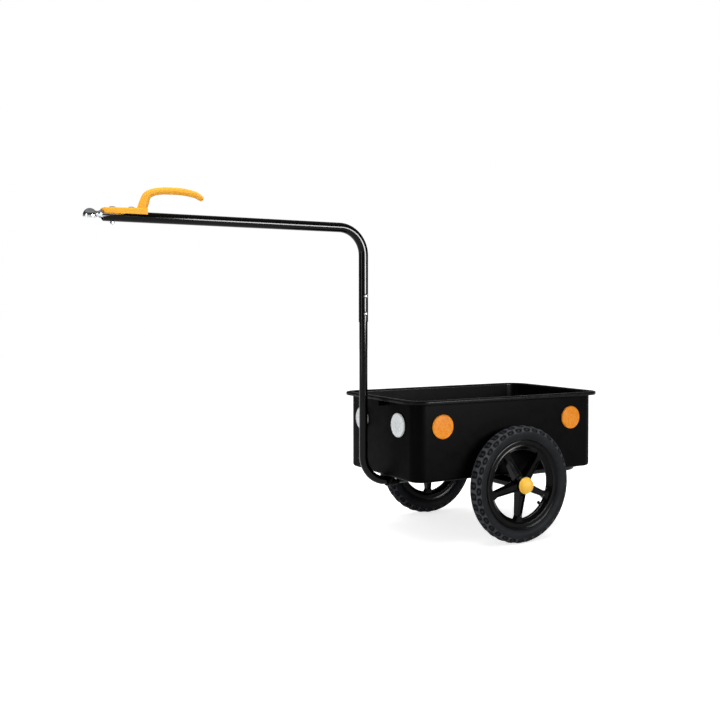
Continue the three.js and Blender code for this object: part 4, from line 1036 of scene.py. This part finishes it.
def saddle():
    """Cover over the boom's end, with rounded shoulders and nose."""
    foot = BOOM_HEIGHT + SADDLE_FOOT_RISE
    rows = []
    steps = 24
    for i in range(steps + 1):
        share = i / steps
        x = BOOM_END - SADDLE_LENGTH * (1 - share)
        top = saddle_top(x) - NOSE_DROP * ease(share, 0.95, 1) ** 2
        half = SADDLE_HALF_WIDTH - NOSE_NARROWING * ease(share, 0.93, 1) ** 2
        outline = [
            (half, foot),
            *arc(half - SADDLE_EDGE, top - SADDLE_EDGE, SADDLE_EDGE, 0, 90, 6),
            *arc(SADDLE_EDGE - half, top - SADDLE_EDGE, SADDLE_EDGE, 90, 180, 6),
            (-half, foot),
        ]
        slant = NOSE_SLANT * share**6
        rows.append([(x - slant * (1 - (z - foot) / (top - foot)), y, z) for y, z in outline])
    return skin(rows, caps=True)


def boss(x):
    """Low round pad under a bolt's head."""
    top = saddle_top(x)
    return moved(upright(turned([
        (AXIS, BOOM_TOP),
        (BOSS_RADIUS, BOOM_TOP),
        *arc(BOSS_RADIUS - BOSS_RISE, top, BOSS_RISE, 0, 90, 3),
        (AXIS, top + BOSS_RISE),
    ])), x=x)


def handle():
    body = piece("carry_handle", [saddle()], "orange_plastic", ["handle"], sharp=35)
    seat = bar(UPPER_RADIUS + SEAT_GAP, BOOM_END - SADDLE_SEAT_LENGTH, BOOM_END + 4 * OVERCUT)
    combined(
        body,
        ("UNION", grip()),
        ("UNION", boss(FRONT_BOLT_X)),
        ("UNION", boss(REAR_SCREW_X)),
        ("DIFFERENCE", moved(across(seat), z=BOOM_HEIGHT)),
    )


# Wheels


def wheel_matrix(side):
    """Takes a shape from its wheel's frame to the axle's."""
    turn = math.radians(WHEEL_TURN[side])
    spin = math.radians(WHEEL_SPIN[side])
    place = Matrix.Translation((0, WHEEL_PLANE * math.cos(turn), AXLE_HEIGHT))
    return place @ Matrix.Rotation(turn, 4, "Z") @ Matrix.Rotation(spin, 4, "Y")


def turned_to(angle):
    """Turns what points along +X to an angle on the wheel, in degrees."""
    return Matrix.Rotation(-math.radians(angle), 4, "Y")


def rim():
    """The wheel's outer band: hooked flanges, stepped faces and the inner band the spokes meet."""
    curl_height = RIM_HALF_WIDTH - RIM_CURL
    half = [
        (RIM_WELL_RADIUS, 5.6),
        (BEAD_SEAT_RADIUS - 1.4, 7),
        (BEAD_SEAT_RADIUS, RIM_SEAT_HALF_WIDTH),
        *arc(RIM_FLANGE_TOP - RIM_HOOK, RIM_HALF_WIDTH - RIM_HOOK, RIM_HOOK, 180, 0, 6)[1:],
        *arc(RIM_FLANGE_TOP - 2.4, curl_height, RIM_CURL, 20, 150, 8),
        (RIM_FLANGE_TOP - 8, curl_height),
        *arc(RIM_STEP_RADIUS + 3.1, 13.8, RIM_STEP_ROUND, 60, 190, 8),
        (RIM_STEP_RADIUS - 0.4, 12),
        (WINDOW_RADIUS + 2.6, 5.6),
        *arc(WINDOW_RADIUS + BAND_ROUND, 5 - BAND_ROUND, BAND_ROUND, 80, 180, 5),
        (WINDOW_RADIUS, 0),
    ]
    other_half = [(r, -h) for r, h in reversed(half)]
    return turned(other_half + half, RIM_SIDES, closed=True)


def spoke():
    """One tapered spoke along +X with flared ends and a channel between two lips on each face."""
    rows = []
    steps = 44
    for i in range(steps + 1):
        r = SPOKE_START + (SPOKE_END - SPOKE_START) * i / steps
        taper = (min(max(r, HUB_RADIUS), FLARE_START) - HUB_RADIUS) / (FLARE_START - HUB_RADIUS)
        flare = SPOKE_FLARE * ease(r, FLARE_START - 3, WINDOW_RADIUS + 4)
        half = SPOKE_HALF_WIDTH - SPOKE_HALF_WIDTH_LOSS * taper + flare
        front = SPOKE_FACE - SPOKE_FACE_LOSS * taper
        back = SPOKE_BACK - SPOKE_BACK_LOSS * taper
        opening = ease(r, CHANNEL_START, CHANNEL_FULL) * (1 - ease(r, CHANNEL_FADE, CHANNEL_END))
        channel = CHANNEL_DEPTH * opening
        lip = half - SPOKE_LIP
        section_half = [
            (half, 1.1),
            (half - 0.9, 0),
            (lip + 0.6, 0),
            (lip, 0.5),
            (lip - 0.9, channel if channel > 0.5 else 0.5 * channel),
        ]
        side = [(s, front - depth) for s, depth in section_half]
        other = [(s, depth - back) for s, depth in section_half]
        section = side + [(-s, h) for s, h in reversed(side)] + [(-s, h) for s, h in other] + other[::-1]
        rows.append([(r, h, s) for s, h in section])
    return skin(rows, caps=True)


def hub():
    return turned([
        (HUB_BORE, -HUB_BACK_REACH),
        *arc(HUB_BACK_RADIUS - FINE_ROUND, FINE_ROUND - HUB_BACK_REACH, FINE_ROUND, -90, 0, 3),
        (HUB_RADIUS, -SPOKE_BACK),
        *arc(HUB_RADIUS - HUB_FRONT_ROUND, HUB_REACH - HUB_FRONT_ROUND, HUB_FRONT_ROUND, 0, 90, 4),
        (HUB_POCKET_RADIUS, HUB_REACH),
        (HUB_POCKET_RADIUS, HUB_POCKET_FLOOR),
        (HUB_BORE, HUB_POCKET_FLOOR),
    ], closed=True)


def mag_wheel(side, matrix):
    spokes = [placed(spoke(), matrix @ turned_to(angle)) for angle in SPOKE_ANGLES]
    parts = [placed(rim(), matrix), placed(hub(), matrix), *spokes]
    piece(f"{side}_mag_wheel", parts, "wheel_plastic", [f"{side}_wheel"], f"{side}_wheel", sharp=28)


def pocket(x, out, middle, half_length, half_width):
    """Depth, from 0 to 1, of a rounded square pocket round a low knob. x and out give the place, and middle
    is the pocket's out."""
    def inside(out, low, high):
        return 1 - ease((abs(x / half_length) ** 3 + abs(out / half_width) ** 3) ** (1 / 3), low, high)

    knob = inside(out - middle - KNOB_SHIFT, 0.8 * KNOB_SIZE_SHARE, 1.2 * KNOB_SIZE_SHARE)
    return inside(out - middle, 0.9, 1.05) * (1 - KNOB_RISE_SHARE * knob)


def tread_cut(along, out):
    """Depth of the tread's pockets, from 0 to 1, at a place along the tread and out from the crown."""
    half = TREAD_PITCH / 2
    half_length = half - TREAD_BAR / 2
    x = (along - TREAD_START) % TREAD_PITCH - half
    shoulder = pocket(x, out, SHOULDER_MIDDLE, half_length, SHOULDER_HALF_WIDTH)
    crown = pocket(half - abs(x), out, CROWN_MIDDLE, half_length - CROWN_SHORTENING, CROWN_HALF_WIDTH)
    return max(shoulder, CROWN_DEPTH_SHARE * crown)


def tyre_section():
    """The tyre's outside from bead to bead: y, radius, and distance from the crown along the outside."""
    outline = smooth_line([(y, AXLE_HEIGHT - drop) for y, drop in TYRE_OUTLINE], 5)
    half = []
    out = 0
    before = outline[0]
    for y, r in outline:
        out += math.hypot(y - before[0], r - before[1])
        before = (y, r)
        rib = RIB_RISE * max(0, 1 - abs(r - RIB_RADIUS) / RIB_HALF_WIDTH)
        half.append((y + rib, r, out))
    return [(-y, r, out) for y, r, out in reversed(half[1:])] + half


def tyre(side, matrix):
    """Tyre with a cut tread: the section is swept round the axle and its outer points are drawn in."""
    section = tyre_section()
    sectors = TREAD_PITCHES * STEPS_PER_PITCH
    rows = []
    raised = []
    pocket_shade = []
    for i in range(sectors):
        angle = math.tau * i / sectors
        ring = []
        for y, r, out in section:
            cut = tread_cut(angle * AXLE_HEIGHT, out)
            depth = TREAD_DEPTH * cut * (1 - SHALLOW_SHARE * ease(out, *SHALLOW_RANGE))
            lean = LEAN_SHARE * ease(out, *LEAN_RANGE)
            ring.append((r - depth * (1 - lean), y - math.copysign(depth * lean, y)))
            # raised marks the tread's tops, which carry dust and a painted sheen
            raised.append((1 - cut) * (1 - ease(out, *DUST_AND_SHEEN_END_RANGE)))
            # The pocket depth is also stored to darken the pockets with painted shade
            pocket_shade.append(cut)
        for y in (BEAD_HALF_WIDTH, -BEAD_HALF_WIDTH):
            ring.append((BEAD_RADIUS, y))
            raised.append(0)
            pocket_shade.append(0)
        rows.append([(r * math.sin(angle), y, r * math.cos(angle)) for r, y in ring])
    carcass = placed(skin(rows, closed=True), matrix)
    made = piece(f"{side}_tyre_carcass", [carcass], "tyre_rubber", [f"{side}_tyre"], f"{side}_wheel",
                 TYRE_RUBBER[side], sharp=60)
    for name, values in (("raised", raised), ("cut", pocket_shade)):
        made.data.attributes.new(name, "FLOAT", "POINT").data.foreach_set("value", values)


def hub_cap(side, matrix):
    """Domed cap whose skirt plugs into the hub's pocket."""
    skirt = HUB_POCKET_RADIUS - SEAT_GAP
    skirt_inside = skirt - HUB_CAP_WALL
    profile = [
        (skirt, -HUB_CAP_SKIRT_DEPTH),
        (skirt, 0),
        *arc(HUB_CAP_RADIUS - EDGE_ROUND, EDGE_ROUND, EDGE_ROUND, -90, 0, 3),
        *arc(HUB_CAP_RADIUS - FINE_ROUND, HUB_CAP_EDGE_HEIGHT - FINE_ROUND, FINE_ROUND, 0, 90, 3),
        (HUB_CAP_DOME_RADIUS + 0.1, HUB_CAP_EDGE_HEIGHT + 0.1),
        *arc(0, HUB_CAP_EDGE_HEIGHT, HUB_CAP_DOME_RADIUS, 2, 89.9, 18, HUB_CAP_DOME_RISE),
        (AXIS, HUB_CAP_TOP_INSIDE),
        (skirt_inside, HUB_CAP_SHOULDER_INSIDE),
        (skirt_inside, -HUB_CAP_SKIRT_DEPTH),
    ]
    cap = moved(turned(profile, FINE_SIDES, closed=True), y=HUB_REACH + SEAT_GAP)
    piece(f"{side}_cap", [placed(cap, matrix)], "orange_plastic", [f"{side}_hub_cap"], f"{side}_wheel",
          HUB_ORANGE, sharp=32)


def valve(side, matrix):
    """Knurled valve cap on the stem's end."""
    profile = [
        (AXIS, VALVE_CAP_START, 0),
        (VALVE_CAP_MOUTH_RADIUS, VALVE_CAP_START, 0),
        (VALVE_CAP_RADIUS, VALVE_CAP_START + EDGE_ROUND, KNURL_RISE),
        (VALVE_CAP_RADIUS, VALVE_CAP_END - EDGE_ROUND, KNURL_RISE),
        (VALVE_CAP_TOP_RADIUS, VALVE_CAP_END, 0),
        (AXIS, VALVE_CAP_END, 0),
    ]
    sides = 4 * KNURL_COUNT
    angles = [math.tau * i / sides for i in range(sides)]
    rings = []
    for r, h, rise in profile:
        radii = [r + rise * math.cos(KNURL_COUNT * a) for a in angles]
        rings.append([(out * math.sin(a), h, out * math.cos(a)) for out, a in zip(radii, angles)])
    cap = placed(across(skin(rings, caps=True)), matrix @ turned_to(VALVE_ANGLE))
    piece(f"{side}_valve_top", [cap], "black_plastic", [f"{side}_valve_cap"], f"{side}_wheel",
          CAP_BLACK, sharp=40)


def wheels():
    for side in ("left", "right"):
        matrix = wheel_matrix(side)
        mag_wheel(side, matrix)
        tyre(side, matrix)
        hub_cap(side, matrix)
        valve(side, matrix)


# Fasteners


def round_head(radius, height, length):
    """Low domed bolt head with a hexagon socket, and its shank."""
    socket_floor = height - HEX_SOCKET_DEPTH
    return turned([
        (AXIS, -length),
        (BOLT_TIP_RADIUS, -length),
        (BOLT_RADIUS, BOLT_TIP_CHAMFER - length),
        (BOLT_RADIUS, 0),
        (radius - HEAD_EDGE, 0),
        *arc(0, HEAD_EDGE, radius, 2, 60, 8, height - HEAD_EDGE)[:-1],
        (HEX_SOCKET_RADIUS + 0.2, height - 0.15),
        (HEX_SOCKET_RADIUS, height - 0.3, 1),
        (HEX_SOCKET_RADIUS, socket_floor, 1),
        (AXIS, socket_floor),
    ])


def hex_nut():
    """Hexagon nut with chamfered corners."""
    face_radius = 0.9 * NUT_RADIUS
    return turned([
        (NUT_BORE, 0),
        (face_radius, 0),
        (NUT_RADIUS, NUT_CHAMFER, 1),
        (NUT_RADIUS, NUT_HEIGHT - NUT_CHAMFER, 1),
        (face_radius, NUT_HEIGHT),
        (NUT_BORE, NUT_HEIGHT),
    ], closed=True)


def fasteners():
    """Bolt, nut and screw of the handle, and the two bolts and nuts across the sleeve joint."""
    for name, x, length in (
        ("handle_bolt", FRONT_BOLT_X, HANDLE_BOLT_LENGTH),
        ("handle_screw", REAR_SCREW_X, HANDLE_SCREW_LENGTH),
    ):
        seat = saddle_top(x) + BOSS_RISE + SEAT_GAP
        head = upright(round_head(HANDLE_HEAD_RADIUS, HANDLE_HEAD_HEIGHT, length))
        piece(name + "_head", [moved(head, x=x, z=seat)], "zinc_steel", [name], sharp=32)
    nut = moved(upright(hex_nut()), x=FRONT_BOLT_X, z=BOOM_BOTTOM - SEAT_GAP - NUT_HEIGHT)
    piece("handle_lock_nut", [nut], "zinc_steel", ["handle_nut"], sharp=25)
    for i, z in enumerate(SLEEVE_BOLT_HEIGHTS, 1):
        head = round_head(SLEEVE_HEAD_RADIUS, SLEEVE_HEAD_HEIGHT, SLEEVE_BOLT_LENGTH)
        head = moved(head, x=POST_X, y=SLEEVE_SEAT, z=z)
        piece(f"sleeve_bolt_{i}", [head], "zinc_steel", [f"drawbar_bolt_{i}"], sharp=32)
        nut = moved(hex_nut(), x=POST_X, y=-SLEEVE_SEAT - NUT_HEIGHT, z=z)
        piece(f"sleeve_nut_{i}", [nut], "zinc_steel", [f"drawbar_nut_{i}"], sharp=25)


def dress_kept_nodes():
    """Gives the CAD nodes that stay in sight their finish."""
    slots = {entry["node"]: entry["material_slot"] for entry in frame["record"]["subparts"]}
    for name, node in frame["nodes"].items():
        for place in node.material_slots:
            place.material = FINISHES[slots[name]]


# Stage


def camera():
    data = bpy.data.cameras.new("camera")
    data.lens = CAMERA_LENS
    data.sensor_width = SENSOR_WIDTH
    data.shift_x, data.shift_y = CAMERA_SHIFT
    made = added("camera", data)
    x, y, z = CAMERA_PLACE
    made.location = (x * MM + AXLE_X, y * MM, z * MM)
    made.rotation_euler = (math.radians(CAMERA_PITCH), 0, math.radians(CAMERA_HEADING))
    bpy.context.scene.camera = made


def seen_ray(nodes, path):
    """1 for rays from the camera and for mirrored or refracted ones."""
    total = path.outputs["Is Camera Ray"]
    for name in ("Is Glossy Ray", "Is Transmission Ray"):
        total = nodes.math("MAXIMUM", total, path.outputs[name])
    return total


def floor():
    """White floor that takes a soft shadow and glows a little where it is seen."""
    mesh = bpy.data.meshes.new("floor")
    corners = [(-1, -1), (1, -1), (1, 1), (-1, 1)]
    mesh.from_pydata([(x * FLOOR_REACH, y * FLOOR_REACH, 0) for x, y in corners], [], [(0, 1, 2, 3)])
    plane = added("floor", mesh)
    material = bpy.data.materials.new("studio_floor")
    material.use_nodes = True
    material.node_tree.nodes.clear()
    nodes = Nodes(material.node_tree)
    seen = seen_ray(nodes, nodes.add("ShaderNodeLightPath"))
    diffuse = nodes.add("ShaderNodeBsdfDiffuse", Color=FLOOR_COLOUR)
    glow = nodes.add("ShaderNodeEmission", Strength=nodes.math("MULTIPLY", seen, FLOOR_GLOW))
    both = nodes.add("ShaderNodeAddShader", _0=diffuse.outputs[0], _1=glow.outputs[0])
    nodes.add("ShaderNodeOutputMaterial", Surface=both.outputs[0])
    mesh.materials.append(material)


def world():
    """White behind the object, softer light on it, and a darker ceiling for gloss to mirror."""
    made = bpy.data.worlds.new("studio")
    made.use_nodes = True
    bpy.context.scene.world = made
    nodes = Nodes(made.node_tree)
    path = nodes.add("ShaderNodeLightPath")
    direction = nodes.add("ShaderNodeTexCoord").outputs["Generated"]
    height = nodes.add("ShaderNodeSeparateXYZ", _0=direction).outputs["Z"]
    ceiling = nodes.add("ShaderNodeValToRGB", _0=height)
    stops = ceiling.color_ramp.elements
    for place, _ in CEILING_GREYS[1:-1]:
        stops.new(place)
    for stop, (_, grey) in zip(stops, CEILING_GREYS):
        stop.color = (grey, grey, grey, 1)
    mirrored = nodes.add("ShaderNodeMix", _0=path.outputs["Is Glossy Ray"], _2=1.0, _3=ceiling.outputs[0])
    level = nodes.add("ShaderNodeMix", _0=seen_ray(nodes, path), _2=SOFT_LIGHT, _3=mirrored.outputs[0])
    background = made.node_tree.nodes["Background"]
    nodes.feed(background, "Color", WHITE)
    nodes.feed(background, "Strength", level.outputs[0])


def lamp(name, place, target, size, power, lights=True, mirrored=True):
    """An area lamp. One that lights nothing only gives gloss its bright lines."""
    data = bpy.data.lights.new(name, "AREA")
    data.shape = "RECTANGLE"
    data.size, data.size_y = size
    data.energy = power
    made = added(name, data)
    made.location = place
    made.rotation_euler = (Vector(target) - Vector(place)).to_track_quat("-Z", "Y").to_euler()
    made.visible_diffuse = lights
    made.visible_glossy = mirrored


def lights():
    lamp("overhead", (0, 0.3, 3.2), (0, 0, 0), (3.2, 2.4), 70, mirrored=False)
    lamp("front", (2.8, 2.2, 1.6), (0, 0, 0.5), (1.2, 1.8), 26, mirrored=False)
    lamp("long_box", (-1.22, 2.8, 1.05), (-1.22, 0, 1.05), (1.6, 0.9), 380, lights=False)
    lamp("side_box", (2.88, 0.7, 0.9), (0, 0.7, 0.9), (0.5, 1.3), 20, lights=False)


tub()
reflectors()
axle_beam()
rear_loop()
drawbar_receiver()
drawbar()
coupler()
latch_spring()
handle()
wheels()
fasteners()
dress_kept_nodes()
camera()
floor()
world()
lights()

bpy.context.scene.view_settings.view_transform = "Standard"
